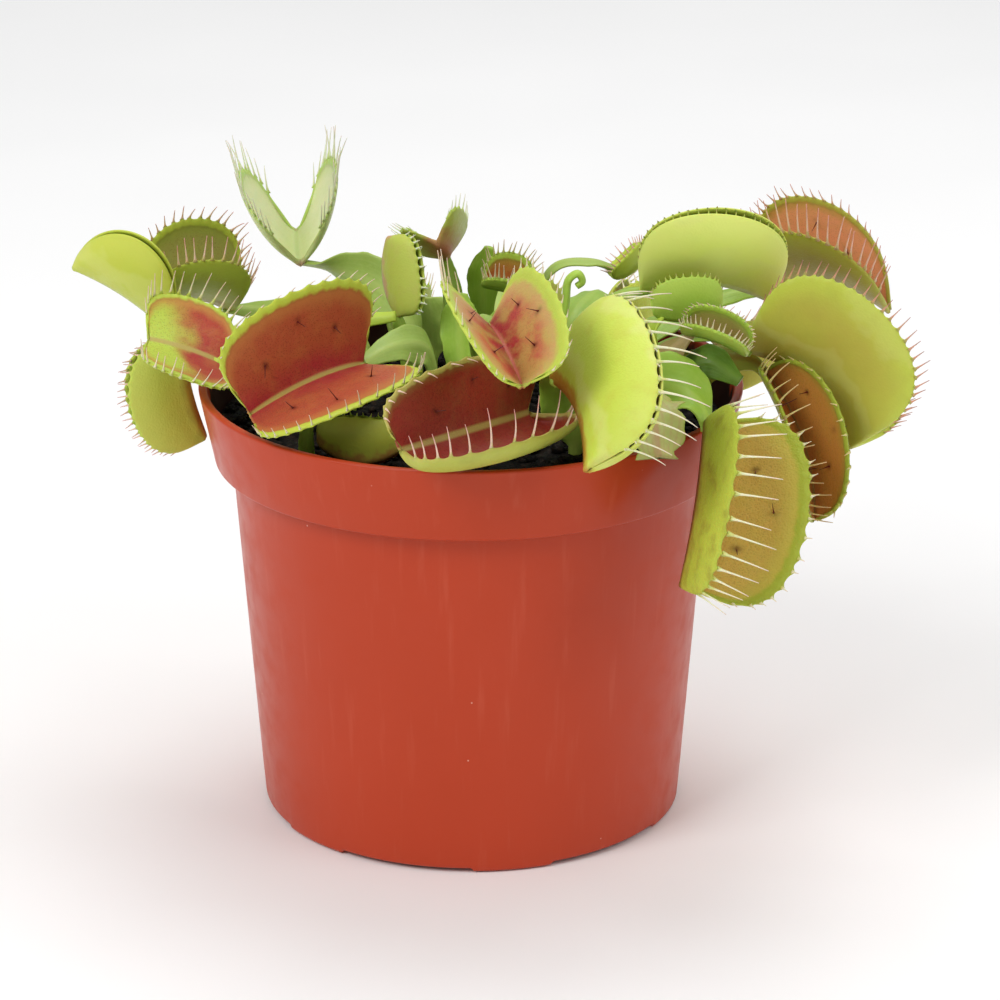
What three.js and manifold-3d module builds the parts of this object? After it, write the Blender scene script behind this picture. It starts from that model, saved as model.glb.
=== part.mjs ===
// A potted Venus flytrap: a thin moulded pot, a plug of peat, and a crown of leaves.
// Each leaf is a winged stalk that stands in its own hole in the peat and carries a two-lobed trap.
// Millimetres, +Z up, the pot's axis on the origin, its foot at z = 0, the near side towards -Y.
import * as THREE from 'three';
import { mergeVertices } from 'three/addons/utils/BufferGeometryUtils.js';
import Module from 'manifold-3d';

const wasm = await Module();
wasm.setup();

// ---- pot ----
const POT = {
  height: 73, rimRadius: 45, bandHeight: 12.5, bandFoot: 42.4, bodyTop: 39.6, baseRadius: 35,
  wall: 1.2, rimWall: 1.5, floor: 1.6, sectors: 48,
};
const DRAIN = { count: 6, turn: -108.5, arc: 38, recess: 0.5, inner: 26, slotFrom: 28, slotTo: 32, slotArc: 24 };

// ---- peat ----
const PEAT = { top: 66, gap: 0.3, sectors: 24, lumps: 0.9, crown: 1.2, holeDepth: 6, holeRadius: 1.75 };
const STALK_FOOT = PEAT.top - 5;   // where a stalk ends inside its hole

// ---- leaves ----
const SHEET = 0.8;                 // thickness of a trap's lobe
const GRAIN = 0.5;                 // most air, in mm3, that a shut trap's lobes shut in
const WELD = 0.01;                 // points closer than this are one
const STALK = { width: 2.2, rib: 1.5, edge: 0.8, neck: 1.5 };
const OUTLINE_POWER = 0.7;         // below 1 the lobe's outline is squarer than a half ellipse

// base and tip: the two ends of the hinge line; opens: the way the mouth faces; hinge: each lobe's angle
// from that way in degrees; cup: how much each lobe curls in by its rim; lobe: hinge to rim; spread: how far
// the lobe fans past the hinge's ends; arch: rise of the hinge line at its middle. teeth: how many on each
// lobe; tooth: the longest on each; lean: how much they turn in from each rim; sweep: how much they turn to
// the tip; shut: its lobes touch; deeper: a factor on each lobe's depth; power: the outline's, if not the usual one;
// root: the stalk's place in the peat; blade: its greatest width; wide: where along it that is;
// via: how far it rises from the peat and how far it runs into the hinge; wing: the way its wings point,
// level and square to the stalk if not given; rows: faces from hinge to rim.
const TRAP_LEAVES = [
  { name: 'leaf_front_left', base: [-17.5, -13, 80], tip: [-35, -25, 75.5], opens: [0.15, -0.5, 0.85],
    hinge: [61, 31], cup: [7, 7], lobe: 16, spread: 1.1, arch: 2, teeth: 9, tooth: [4, 4], lean: [55, 10],
    sweep: [0, -1], root: [-5.5, -2], blade: 6.8, wide: 0.6, rows: 3,
    through: [[-6, -2.5, 75], [-7.5, -4, 80], [-12, -8, 81.6]], wing: [0, 0.6, 0.8] },
  { name: 'leaf_front', base: [9, -25, 76], tip: [-10.5, -48.5, 78], opens: [0.75, -0.55, 0.4],
    hinge: [90, 88], cup: [140, 16], lobe: 11, deeper: [1.3, 1], spread: 0.8, arch: 3, teeth: 11, tooth: [6, 3], lean: [0, 85],
    sweep: [0, 0], root: [8, -13], blade: 3, wide: 0.5, via: [5, 6], arrive: [0.2, -1, 0.3], rows: 3 },
  { name: 'leaf_centre', base: [3.1, -33.5, 93.2], tip: [8.1, -48.5, 88.2], opens: [-0.05, -0.3, 0.95],
    hinge: [51, 45], cup: [11, 11], lobe: 12, spread: 1.3, arch: 1.5, teeth: 9, tooth: [2, 6.5], lean: [20, 30],
    sweep: [0, 0], root: [3, -9], blade: 4.5, wide: 0.5, via: [14, 10], rows: 3 },
  { name: 'leaf_centre_right', shut: true, base: [13, -29, 83], tip: [18, -50, 75], opens: [0.55, -0.2, 0.8],
    hinge: [49, 38], cup: [84, 84], lobe: 19, spread: 1.2, arch: 3, teeth: 11, tooth: [3, 8], lean: [15, 15],
    sweep: [0, 0], root: [17, -17], blade: 10, wide: 0.45, rows: 3, wing: [1, 0, 0],
    through: [[17, -18, 71], [16, -19.8, 77], [14.6, -24.6, 82.4]] },
  { name: 'leaf_right_low', base: [37.5, -27.5, 75], tip: [33.5, -39.5, 52], opens: [0.7, -0.7, 0.2],
    hinge: [49, 48], cup: [37, 37], lobe: 18, spread: 0.6, arch: 1, teeth: 11, tooth: [2, 7.5], lean: [20, 35],
    sweep: [0, 0], root: [21, -17], blade: 12, wide: 0.55, via: [13, 9], rows: 3, wing: [0, 0.6, 0.8] },
  { name: 'leaf_right_mid', base: [48, -6, 76.5], tip: [56, -16.5, 54.5], opens: [0.45, -0.7, 0.5],
    hinge: [7, 54], cup: [27, 27], lobe: 15.2, spread: 0.2, arch: 4, teeth: 8, tooth: [2.5, 6], lean: [30, 10],
    sweep: [0, 0], root: [28, -8], blade: 6.5, wide: 0.5, via: [7, 8], rows: 2, wing: [0, 0.6, 0.8] },
  { name: 'leaf_right_large', base: [44.5, -8, 81], tip: [61.5, -15, 66.5], opens: [0.7, 0.2, 0.7],
    hinge: [80, 68], cup: [48, 48], lobe: 21.5, spread: 0.8, arch: 4, teeth: 9, tooth: [4, 4], lean: [0, 0],
    sweep: [0, 0], root: [25, 1], blade: 6, wide: 0.5, via: [12, 8], rows: 2 },
  { name: 'leaf_right_back', base: [51, 23.5, 81], tip: [70, 13.5, 80.5], opens: [-0.15, -0.35, 0.9],
    hinge: [9, 42], cup: [29, 29], lobe: 20, spread: 0.4, arch: 4, teeth: 9, tooth: [3, 6.5], lean: [10, 10],
    sweep: [0, 0], root: [24, 9], blade: 6, wide: 0.5, via: [10, 10], rows: 2 },
  { name: 'leaf_dome', shut: true, base: [28, 0.5, 88.3], tip: [49, 2, 86.3], opens: [0.1, -0.4, 0.9],
    hinge: [36, 39], cup: [67, 67], lobe: 16.5, spread: 0.6, arch: 3, teeth: 9, tooth: [1, 1], lean: [0, 0],
    sweep: [0, 0], root: [16, 3], blade: 5, wide: 0.5, via: [12, 8], rows: 2 },
  { name: 'leaf_dome_small', base: [30, -9, 87.4], tip: [40.5, -8, 87.9], opens: [-0.05, 0.45, 0.9],
    hinge: [64, 64], cup: [60, 60], lobe: 7.5, spread: 0.3, arch: -1, teeth: 5, tooth: [0.7, 0.7], lean: [0, 0],
    sweep: [0, 0], root: [22, -6.5], blade: 7, wide: 0.6, via: [12, 4], arrive: [0.2, 0, 1], rows: 2,
    wing: [1, 0, 0] },
  { name: 'leaf_half_open', base: [34.5, -12.5, 85.5], tip: [44.5, -15, 82.5], opens: [0.05, -0.65, 0.75],
    hinge: [34, 42], cup: [41, 41], lobe: 7, spread: 0.4, arch: 1.5, teeth: 7, tooth: [1.4, 1.4], lean: [10, 10],
    sweep: [0, 0], root: [27, -14], blade: 6, wide: 0.66, via: [10, 5], arrive: [0.6, 0, 0.8], rows: 2,
    wing: [0, 0.6, 0.8] },
  { name: 'leaf_far_left', shut: true, base: [-51.5, 13, 78.2], tip: [-66.5, 16.5, 87.2], opens: [0.35, -0.55, 0.75],
    hinge: [36, 33], cup: [63, 63], lobe: 16, power: 1, spread: 0.2, arch: 1.5, teeth: 0, tooth: [0, 0], lean: [0, 0],
    sweep: [0, 0], root: [-21, 11], blade: 4, wide: 0.4, via: [14, 8], rows: 3 },
  { name: 'leaf_left_back', base: [-41, 24.6, 77.3], tip: [-54, 20.6, 78.1], opens: [0, -0.35, 0.95],
    hinge: [50, 45], cup: [45, 45], lobe: 14, spread: 0.8, arch: 3, teeth: 7, tooth: [4, 4], lean: [10, 20],
    sweep: [0, 0], root: [-17, 16], blade: 6.5, wide: 0.6, via: [12, 10], rows: 2, wing: [0, 0.6, 0.8] },
  { name: 'leaf_left_red', base: [-41, -3.5, 77], tip: [-52.5, -5, 81.5], opens: [0.4, -0.25, 0.9],
    hinge: [86, 80], cup: [11, 11], lobe: 11.5, spread: 0.8, arch: 0.5, teeth: 7, tooth: [3.5, 3.5], lean: [40, 40],
    sweep: [0, 0], root: [-22, -2], blade: 4, wide: 0.4, via: [10, 10], rows: 2 },
  { name: 'leaf_left_low', base: [-48, 4, 79.5], tip: [-44.8, 9, 59.8], opens: [-0.9, -0.35, -0.1],
    hinge: [25, 25], cup: [40, 40], lobe: 10.5, spread: 0.3, arch: 1, teeth: 6, tooth: [1.2, 1.2], lean: [0, 0],
    sweep: [0, 0], root: [-24, 4], blade: 4, wide: 0.4, via: [5, 6], arrive: [-1, 0.1, -0.1], rows: 2 },
  { name: 'leaf_back_tall', base: [-29.5, 36, 82], tip: [-31, 55.5, 81.5], opens: [0.2, 0.05, 1],
    hinge: [68, 33], cup: [40, 40], lobe: 17, spread: 1.5, arch: -1, teeth: 7, tooth: [6, 6], lean: [0, 0],
    sweep: [0, 0], root: [-9, 20], blade: 9, wide: 0.6, via: [14, 12], arrive: [-1, 0.3, 0], rows: 2,
    wing: [0, 0.6, 0.8] },
  { name: 'leaf_back_upright', shut: true, base: [-12, 2.5, 83.5], tip: [-13.5, 6.5, 95.5], opens: [0.7, -0.65, 0.3],
    hinge: [37, 33], cup: [63, 63], lobe: 9.5, spread: 0.2, arch: -2, teeth: 5, tooth: [1.5, 1.5], lean: [0, 0],
    sweep: [0, 0], root: [-10, 6], blade: 4, wide: 0.5, via: [8, 6], rows: 2 },
  { name: 'leaf_back_small', base: [-4.5, 14, 90], tip: [-5.5, 5.5, 95], opens: [-0.7, 0.45, 0.55],
    hinge: [82, 35], cup: [21, 21], lobe: 7.5, spread: 1.8, arch: -1, teeth: 5, tooth: [2.5, 2.5], lean: [0, 0],
    sweep: [0, 0], root: [-2, 9], blade: 4.5, wide: 0.35, via: [12, 6], rows: 2 },
  { name: 'leaf_back_centre', base: [9.5, 11.5, 84.5], tip: [2, 11.5, 86], opens: [0.05, -0.5, 0.85],
    hinge: [47, 47], cup: [36, 36], lobe: 6.5, spread: 0.3, arch: 0, teeth: 6, tooth: [3, 3], lean: [10, 10],
    sweep: [0, 0], root: [8, 9], blade: 4, wide: 0.5, via: [10, 5], rows: 2 },
  { name: 'leaf_back_strap', base: [24, 14, 86.5], tip: [29, 16, 91], opens: [-0.8, 0.1, 0.6],
    hinge: [81, 81], cup: [39, 39], lobe: 5.5, spread: 0.2, arch: -1, teeth: 5, tooth: [2, 2], lean: [0, 0],
    sweep: [0, 0], root: [10, 17], blade: 5, wide: 0.6,
    through: [[10.5, 16, 80], [14, 15, 88], [20, 14.5, 89]],
    rows: 2 },
  { name: 'leaf_front_low', base: [-11, -31, 72], tip: [-24, -27, 71.6], opens: [0, 0.3, 0.95],
    hinge: [40, 40], cup: [53, 53], lobe: 7.5, spread: 0.2, arch: -2.5, teeth: 5, tooth: [0.6, 0.6], lean: [0, 0],
    sweep: [0, 0], root: [-8, -23], blade: 3, wide: 0.5, via: [3, 3], rows: 2 },
  { name: 'leaf_rear_left', base: [-13.9, 48.6, 71.6], tip: [-16, 53.5, 58], opens: [0, 0.95, 0.3],
    hinge: [60, 60], cup: [35, 35], lobe: 11, spread: 0.2, arch: 2, teeth: 4, tooth: [3, 3], lean: [10, 10],
    sweep: [0, 0], root: [-12.4, 32.4], blade: 8.6, wide: 0.45, rows: 2, wing: [1, 0, 0],
    through: [[-12, 36, 73.5], [-12.2, 41, 75.2], [-13.4, 45.6, 75.1]] },
  { name: 'leaf_rear', base: [5.2, 49.2, 71.6], tip: [6.5, 54, 57.5], opens: [0.1, 0.95, 0.3],
    hinge: [50, 66], cup: [45, 30], lobe: 12, spread: 0.2, arch: 2, teeth: 4, tooth: [3, 3], lean: [10, 10],
    sweep: [0, 0], root: [4, 27], blade: 8, wide: 0.45, rows: 2, wing: [1, 0, 0],
    through: [[4.2, 33, 73.5], [4.6, 40, 75.2], [5, 46, 75.1]] },
  { name: 'leaf_rear_right', base: [23.6, 44.2, 71.6], tip: [27, 48.5, 58.5], opens: [0.45, 0.85, 0.3],
    hinge: [40, 40], cup: [60, 60], lobe: 11, spread: 0.2, arch: 2, teeth: 4, tooth: [3, 3], lean: [10, 10],
    sweep: [0, 0], root: [15, 25], blade: 8, wide: 0.45, rows: 2, wing: [0.9, -0.4, 0],
    through: [[17, 30.5, 73.5], [19.6, 36.5, 75.2], [22, 41.2, 75.1]] },
  { name: 'leaf_rear_far_right', base: [40, 29.6, 71.6], tip: [44.5, 33.5, 59.5], opens: [0.75, 0.6, 0.3],
    hinge: [62, 55], cup: [30, 35], lobe: 10, spread: 0.2, arch: 2, teeth: 4, tooth: [3, 3], lean: [10, 10],
    sweep: [0, 0], root: [24, 18.5], blade: 7, wide: 0.45, rows: 2, wing: [0.6, -0.8, 0],
    through: [[28, 21.6, 73.5], [33, 25, 75.2], [37.4, 27.8, 75.1]] },
];

// Leaves without a trap: blades, a curled bud, a cut stalk and one torn old leaf that lies over the rim.
// through: the points the blade passes after its root; end: its width at the tip; ragged: how torn it is.
const BLADE_LEAVES = [
  { name: 'blade_left', root: [-19.5, 4], through: [[-20.5, 3, 76], [-19, 0, 82.7], [-12.3, -1.5, 84.6]],
    blade: 2.8, wide: 0.6, end: 1.8, ragged: 0, wing: [0, 0.6, 0.8] },
  { name: 'blade_centre', root: [0, -1], through: [[-1.5, 1, 75], [-1.8, 4, 83], [-1.2, 5, 86.5]],
    blade: 6.5, wide: 0.6, end: 1.4, ragged: 0, wing: [1, 0, 0] },
  { name: 'blade_rear', root: [-7, 26.5], through: [[-7.2, 27, 73], [-7.5, 28, 78.5]],
    blade: 13, wide: 0.6, end: 5, ragged: 0, wing: [1, 0, 0] },
  { name: 'blade_middle', root: [4, 2], through: [[4.5, 3, 75], [5.5, 5, 81], [6.5, 6.5, 84.5]],
    blade: 6, wide: 0.6, end: 1.4, ragged: 0, wing: [1, 0, 0] },
  { name: 'blade_back', root: [2, 19], through: [[2, 17, 77.3], [2, 15.5, 86], [3, 15, 91.4]],
    blade: 5.5, wide: 0.7, end: 1.6, ragged: 0, wing: [1, 0, 0] },
  { name: 'blade_right', root: [32, -12.5], through: [[33, -12.5, 75], [38, -14, 81], [43.5, -16.5, 78.4]],
    blade: 6, wide: 0.65, end: 2, ragged: 0, wing: [0, 0.6, 0.8] },
  { name: 'bud', root: [13, -5], through: [[14.5, -5, 80], [15.5, -5, 88], [16, -5, 92], [17.5, -5, 93],
    [18.2, -5, 91.6], [17.3, -5, 90.8]], blade: 2.4, wide: 0.4, end: 1.2, ragged: 0, wing: [0, 1, 0] },
  { name: 'cut_stalk', root: [-26, -24], through: [[-26.2, -25, 70], [-26, -26.5, 74.5]],
    blade: 2.6, wide: 0.5, end: 2, ragged: 0 },
  { name: 'old_leaf', root: [21.5, -24],
    through: [[23, -28, 76], [26, -33, 82], [28.5, -38, 80], [29.5, -42.5, 74.5]], blade: 13, wide: 0.72, end: 7, ragged: 0.3 },
];

// ---------- small helpers ----------
const vec = (a) => new THREE.Vector3(...a);
const radians = THREE.MathUtils.degToRad;
const mix = THREE.MathUtils.lerp;
const smooth = (u) => u * u * (3 - 2 * u);

function seededRandom(seed) {
  let a = seed >>> 0;
  return () => {
    a = (a + 0x6d2b79f5) >>> 0;
    let t = Math.imul(a ^ (a >>> 15), 1 | a);
    t = (t + Math.imul(t ^ (t >>> 7), 61 | t)) ^ t;
    return ((t ^ (t >>> 14)) >>> 0) / 4294967296;
  };
}

// A growing list of points and faces that becomes one closed solid.
class Shell {
  constructor() { this.points = []; this.faces = []; }
  add(p) { this.points.push(p); return this.points.length - 1; }
  tri(a, b, c) { if (a !== b && b !== c && c !== a) this.faces.push(a, b, c); }
  quad(a, b, c, d) { this.tri(a, b, c); this.tri(a, c, d); }
  solid() {
    const mesh = new wasm.Mesh({
      numProp: 3,
      vertProperties: new Float32Array(this.points.flatMap((p) => [p.x, p.y, p.z])),
      triVerts: new Uint32Array(this.faces),
    });
    const made = new wasm.Manifold(mesh);
    if (made.volume() >= 0) return made;
    for (let i = 0; i < this.faces.length; i += 3)
      [this.faces[i + 1], this.faces[i + 2]] = [this.faces[i + 2], this.faces[i + 1]];
    return this.solid();
  }
}

function solidFrom(geometry) {
  const bare = new THREE.BufferGeometry().setAttribute('position', geometry.getAttribute('position'));
  if (geometry.index) bare.setIndex(geometry.index);
  const merged = mergeVertices(bare, 1e-4);
  return new wasm.Manifold(new wasm.Mesh({
    numProp: 3,
    vertProperties: new Float32Array(merged.attributes.position.array),
    triVerts: new Uint32Array(merged.index.array),
  }));
}

function geometryOf(solid) {
  const { vertProperties, triVerts } = solid.getMesh();
  const geometry = new THREE.BufferGeometry();
  geometry.setAttribute('position', new THREE.BufferAttribute(new Float32Array(vertProperties), 3));
  geometry.setIndex(new THREE.BufferAttribute(new Uint32Array(triVerts), 1));
  return geometry;
}

function meshFrom(solid, name, colour) {
  const geometry = geometryOf(solid);
  geometry.computeVertexNormals();
  const mesh = new THREE.Mesh(geometry, new THREE.MeshStandardMaterial({ color: colour, flatShading: true }));
  mesh.name = name;
  return mesh;
}

// ---------- pot ----------
// A closed ring of straight sections turned round the axis.
function turned(profile, sectors) {
  const points = profile.map(([r, z]) => new THREE.Vector2(r, z));
  points.push(points[0].clone());
  const g = new THREE.LatheGeometry(points, sectors);
  g.rotateX(Math.PI / 2);
  return solidFrom(g);
}

// A block over an arc of the floor, for cutting.
function arcBlock(from, to, centreDeg, arcDeg, z0, z1) {
  const shell = new Shell(), steps = 4, rows = [];
  for (let i = 0; i <= steps; i++) {
    const a = radians(centreDeg - arcDeg / 2 + (arcDeg * i) / steps);
    rows.push([[from, z0], [to, z0], [to, z1], [from, z1]].map(([r, z]) =>
      shell.add(new THREE.Vector3(r * Math.cos(a), r * Math.sin(a), z))));
  }
  for (let i = 0; i < steps; i++)
    for (let k = 0; k < 4; k++)
      shell.quad(rows[i][k], rows[i][(k + 1) % 4], rows[i + 1][(k + 1) % 4], rows[i + 1][k]);
  shell.quad(rows[0][3], rows[0][2], rows[0][1], rows[0][0]);
  shell.quad(rows[steps][0], rows[steps][1], rows[steps][2], rows[steps][3]);
  return shell.solid();
}

const BAND_FOOT_Z = POT.height - POT.bandHeight;
const INNER_STEP_Z = BAND_FOOT_Z + 0.7;          // the step's inside, above its outside by a wall
const INNER_BAND_Z = BAND_FOOT_Z + 1.6;
const outerAt = (z) => mix(POT.baseRadius, POT.bodyTop, z / BAND_FOOT_Z);

function makePot() {
  const p = POT;
  let pot = turned([
    [0, 0], [p.baseRadius - 0.6, 0], [p.baseRadius, 0.6],
    [p.bodyTop, BAND_FOOT_Z], [p.bandFoot - 0.4, BAND_FOOT_Z], [p.bandFoot, BAND_FOOT_Z + 0.5],
    [p.rimRadius, p.height - 0.5], [p.rimRadius - 0.4, p.height],
    [p.rimRadius - p.rimWall, p.height], [p.bandFoot - p.wall + 0.1, INNER_BAND_Z],
    [outerAt(INNER_STEP_Z) - p.wall, INNER_STEP_Z], [outerAt(p.floor) - p.wall, p.floor], [0, p.floor],
  ], p.sectors);
  for (let i = 0; i < DRAIN.count; i++) {
    const at = DRAIN.turn + (360 / DRAIN.count) * i;
    pot = pot.subtract(arcBlock(DRAIN.inner, p.baseRadius + 3, at, DRAIN.arc, -1, DRAIN.recess));
    pot = pot.subtract(arcBlock(DRAIN.slotFrom, DRAIN.slotTo, at, DRAIN.slotArc, -1, p.floor + 1));
  }
  return pot;
}

// ---------- peat ----------
const bandInner = (z) => mix(POT.bandFoot - POT.wall + 0.1, POT.rimRadius - POT.rimWall,
  (z - INNER_BAND_Z) / (POT.height - INNER_BAND_Z));

function makePeat(roots) {
  const random = seededRandom(11);
  const shell = new Shell(), n = PEAT.sectors, rings = [];
  const ring = (r, z, lumpy) => {
    const row = [];
    for (let i = 0; i < n; i++) {
      const a = (2 * Math.PI * i) / n;
      const dz = lumpy ? (random() - 0.5) * 2 * PEAT.lumps : 0;
      row.push(shell.add(new THREE.Vector3(r * Math.sin(a), r * Math.cos(a), z + dz)));
    }
    rings.push(row);
  };
  const wallAt = (z) => outerAt(z) - POT.wall - PEAT.gap;
  ring(wallAt(POT.floor + PEAT.gap), POT.floor + PEAT.gap, false);
  ring(wallAt(INNER_STEP_Z), INNER_STEP_Z + 0.2, false);
  ring(bandInner(INNER_BAND_Z) - PEAT.gap, INNER_BAND_Z + 0.3, false);
  ring(bandInner(PEAT.top - 1) - PEAT.gap, PEAT.top - 1.2, false);
  const edge = bandInner(PEAT.top - 1) - PEAT.gap;
  for (const f of [0.93, 0.74, 0.5, 0.26]) ring(edge * f, PEAT.top + PEAT.crown * (1 - f), true);
  for (let k = 0; k + 1 < rings.length; k++)
    for (let i = 0; i < n; i++) {
      const j = (i + 1) % n;
      shell.quad(rings[k][i], rings[k + 1][i], rings[k + 1][j], rings[k][j]);
    }
  const top = shell.add(new THREE.Vector3(0, 0, PEAT.top + PEAT.crown));
  const bottom = shell.add(new THREE.Vector3(0, 0, POT.floor + PEAT.gap));
  for (let i = 0; i < n; i++) {
    const j = (i + 1) % n, last = rings.length - 1;
    shell.tri(rings[last][i], top, rings[last][j]);
    shell.tri(rings[0][j], bottom, rings[0][i]);
  }
  let peat = shell.solid();
  for (const [x, y] of roots) {
    const g = new THREE.CylinderGeometry(PEAT.holeRadius, PEAT.holeRadius, 20, 6);
    g.rotateX(Math.PI / 2).translate(x, y, PEAT.top - PEAT.holeDepth + 10);
    peat = peat.subtract(solidFrom(g));
  }
  return peat;
}

// ---------- stalks ----------
// A winged stalk: a flat six-sided section carried along a bent path. sides gives the direction of its
// wings at each point, left and right their full widths, ribs its thickness; fold lifts the wings.
function makeStalk(path, sides, left, right, fold, ribs) {
  const shell = new Shell(), rows = [];
  path.forEach((p, i) => {
    const along = path[Math.min(i + 1, path.length - 1)].clone().sub(path[Math.max(i - 1, 0)]).normalize();
    const side = sides[i].clone().addScaledVector(along, -sides[i].dot(along)).normalize();
    const face = side.clone().cross(along);
    const l = left[i] / 2, r = right[i] / 2, t = ribs[i] / 2, e = STALK.edge / 2;
    const at = (x, z) => shell.add(p.clone().addScaledVector(side, x).addScaledVector(face, z));
    rows.push([at(-l, fold * l + e), at(0, t), at(r, fold * r + e),
      at(r, fold * r - e), at(0, -t), at(-l, fold * l - e)]);
  });
  for (let i = 0; i + 1 < rows.length; i++)
    for (let k = 0; k < 6; k++)
      shell.quad(rows[i][k], rows[i][(k + 1) % 6], rows[i + 1][(k + 1) % 6], rows[i + 1][k]);
  const cap = ([a, b, c, d, e, f]) => { shell.quad(a, f, e, b); shell.quad(b, e, d, c); };
  cap(rows[0]);
  cap([...rows[rows.length - 1]].reverse());
  return shell.solid();
}

// ---------- traps ----------
// The trap's own axes: along the hinge from base to tip, out of the mouth, and across.
function trapAxes(leaf) {
  const base = vec(leaf.base), along = vec(leaf.tip).sub(base), length = along.length();
  along.normalize();
  const out = vec(leaf.opens);
  out.addScaledVector(along, -out.dot(along)).normalize();
  return { base, along, out, across: out.clone().cross(along), length };
}

// A point of lobe `side` (+1 or -1): phi runs 0..pi round the rim, s runs 0..1 from hinge to rim.
// Across the lobe the surface is an arc that starts at the hinge angle and turns in by the cup angle,
// and the arc is scaled down to nothing towards both ends of the hinge, which makes the lobe a bowl.
function lobePoint(leaf, axes, side, phi, s) {
  const { base, along, out, across, length } = axes;
  const start = radians(side > 0 ? leaf.hinge[0] : leaf.hinge[1]), cup = radians(leaf.cup[side > 0 ? 0 : 1] || 0.1);
  const deep = leaf.lobe * (leaf.deeper ? leaf.deeper[side > 0 ? 0 : 1] : 1);
  const height = deep * Math.sin(phi) ** (leaf.power ?? OUTLINE_POWER);
  const x = (length / 2) * (1 - (1 + leaf.spread * Math.sin(phi) * s) * Math.cos(phi));
  const x0 = (length / 2) * (1 - Math.cos(phi));
  const rise = 4 * leaf.arch * (x0 / length) * (1 - x0 / length);
  const y = ((Math.cos(start - cup * s) - Math.cos(start)) / cup) * height;
  const z = ((Math.sin(start) - Math.sin(start - cup * s)) / cup) * height;
  return base.clone().addScaledVector(along, x).addScaledVector(across, side * y)
    .addScaledVector(out, z + rise);
}

function makeTrap(leaf, axes) {
  const rows = leaf.rows, from = 0.12 * Math.PI, to = 0.88 * Math.PI;
  const stops = leaf.teeth || 5, pitch = (to - from) / stops;
  const columns = [0, 0.05 * Math.PI], toothAt = new Map();
  for (let k = 0; k < stops; k++) {
    const mid = from + pitch * (k + 0.5);
    if (leaf.teeth) toothAt.set(columns.length, mid);
    columns.push(mid - pitch * 0.14, mid + pitch * 0.14);
  }
  columns.push(0.95 * Math.PI, Math.PI);
  const last = columns.length - 1, span = 2 * rows;
  const place = (j, k) => {
    const u = (k - rows) / rows, side = u < 0 ? -1 : 1;
    return lobePoint(leaf, axes, side, columns[j], Math.abs(u));
  };
  const grid = columns.map((_, j) => Array.from({ length: span + 1 }, (_, k) => place(j, k)));
  const normal = (j, k) => {
    const a = grid[Math.min(j + 1, last)][k].clone().sub(grid[Math.max(j - 1, 0)][k]);
    const b = grid[j][Math.min(k + 1, span)].clone().sub(grid[j][Math.max(k - 1, 0)]);
    return a.cross(b).normalize();
  };
  // The sheet's two faces. At both ends of the hinge all of a column falls on one point.
  const face = (way) => columns.map((_, j) => grid[j].map((point, k) => {
    const end = j === 0 || j === last;
    const n = end ? axes.out.clone() : normal(j, k);
    if (end && n.dot(normal(Math.min(Math.max(j, 1), last - 1), rows)) < 0) n.negate();
    return point.clone().addScaledVector(n, way * SHEET / 2);
  }));
  const faces = [face(1), face(-1)];
  // The closed solid of the sheet from row `low` to row `high`, with teeth on each rim that it has.
  const makeSheet = (low, high) => {
    const shell = new Shell();
    const [inner, outer] = faces.map((points) => points.map((column, j) => {
      const end = j === 0 || j === last, row = {};
      for (let k = low; k <= high; k++) row[k] = end && k > low ? row[low] : shell.add(column[k].clone());
      return row;
    }));
    for (let j = 0; j < last; j++) {
      for (let k = low; k < high; k++) {
        shell.quad(inner[j][k], inner[j + 1][k], inner[j + 1][k + 1], inner[j][k + 1]);
        shell.quad(outer[j][k], outer[j][k + 1], outer[j + 1][k + 1], outer[j + 1][k]);
      }
      for (const [rim, side] of [[low, -1], [high, 1]]) {
        if (rim === rows) {
          const joint = [inner[j + 1][rim], outer[j + 1][rim], outer[j][rim], inner[j][rim]];
          shell.quad(...(side > 0 ? joint : [joint[2], joint[1], joint[0], joint[3]]));
          continue;
        }
        const ring = [inner[j][rim], inner[j + 1][rim], outer[j + 1][rim], outer[j][rim]];
        if (side < 0) ring.reverse();
        const mid = toothAt.get(j);
        if (mid === undefined) { shell.quad(...ring); continue; }
        const lobe = side > 0 ? 0 : 1;
        const turn = radians(leaf.hinge[lobe] - leaf.cup[lobe] - leaf.lean[lobe]);
        const way = new THREE.Vector3().addScaledVector(axes.across, side * Math.sin(turn))
          .addScaledVector(axes.out, Math.cos(turn))
          .addScaledVector(axes.along, leaf.sweep[lobe] - 0.5 * Math.cos(mid)).normalize();
        const foot = ring.reduce((s, i) => s.add(shell.points[i]), new THREE.Vector3()).multiplyScalar(0.25);
        const size = leaf.tooth[lobe] * (0.55 + 0.45 * Math.sin(mid));
        const apex = shell.add(foot.addScaledVector(way, size));
        for (let q = 0; q < 4; q++) shell.tri(ring[q], ring[(q + 1) % 4], apex);
      }
    }
    return shell.solid();
  };
  // The lobes of a shut trap touch, so each is a solid of its own and the two are joined. Otherwise
  // they would run through each other.
  return leaf.shut ? makeSheet(0, rows).add(makeSheet(rows, span)) : makeSheet(0, span);
}

// Width along a stalk: plain at its foot, swelling to the blade, narrow again at its end.
function bladeWidth(leaf, end, u) {
  const peak = Math.log(0.5) / Math.log(leaf.wide);
  const plain = mix(STALK.width, end, u);
  return plain + (leaf.blade - mix(STALK.width, end, leaf.wide)) * Math.sin(Math.PI * u ** peak) ** 1.3;
}

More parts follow.
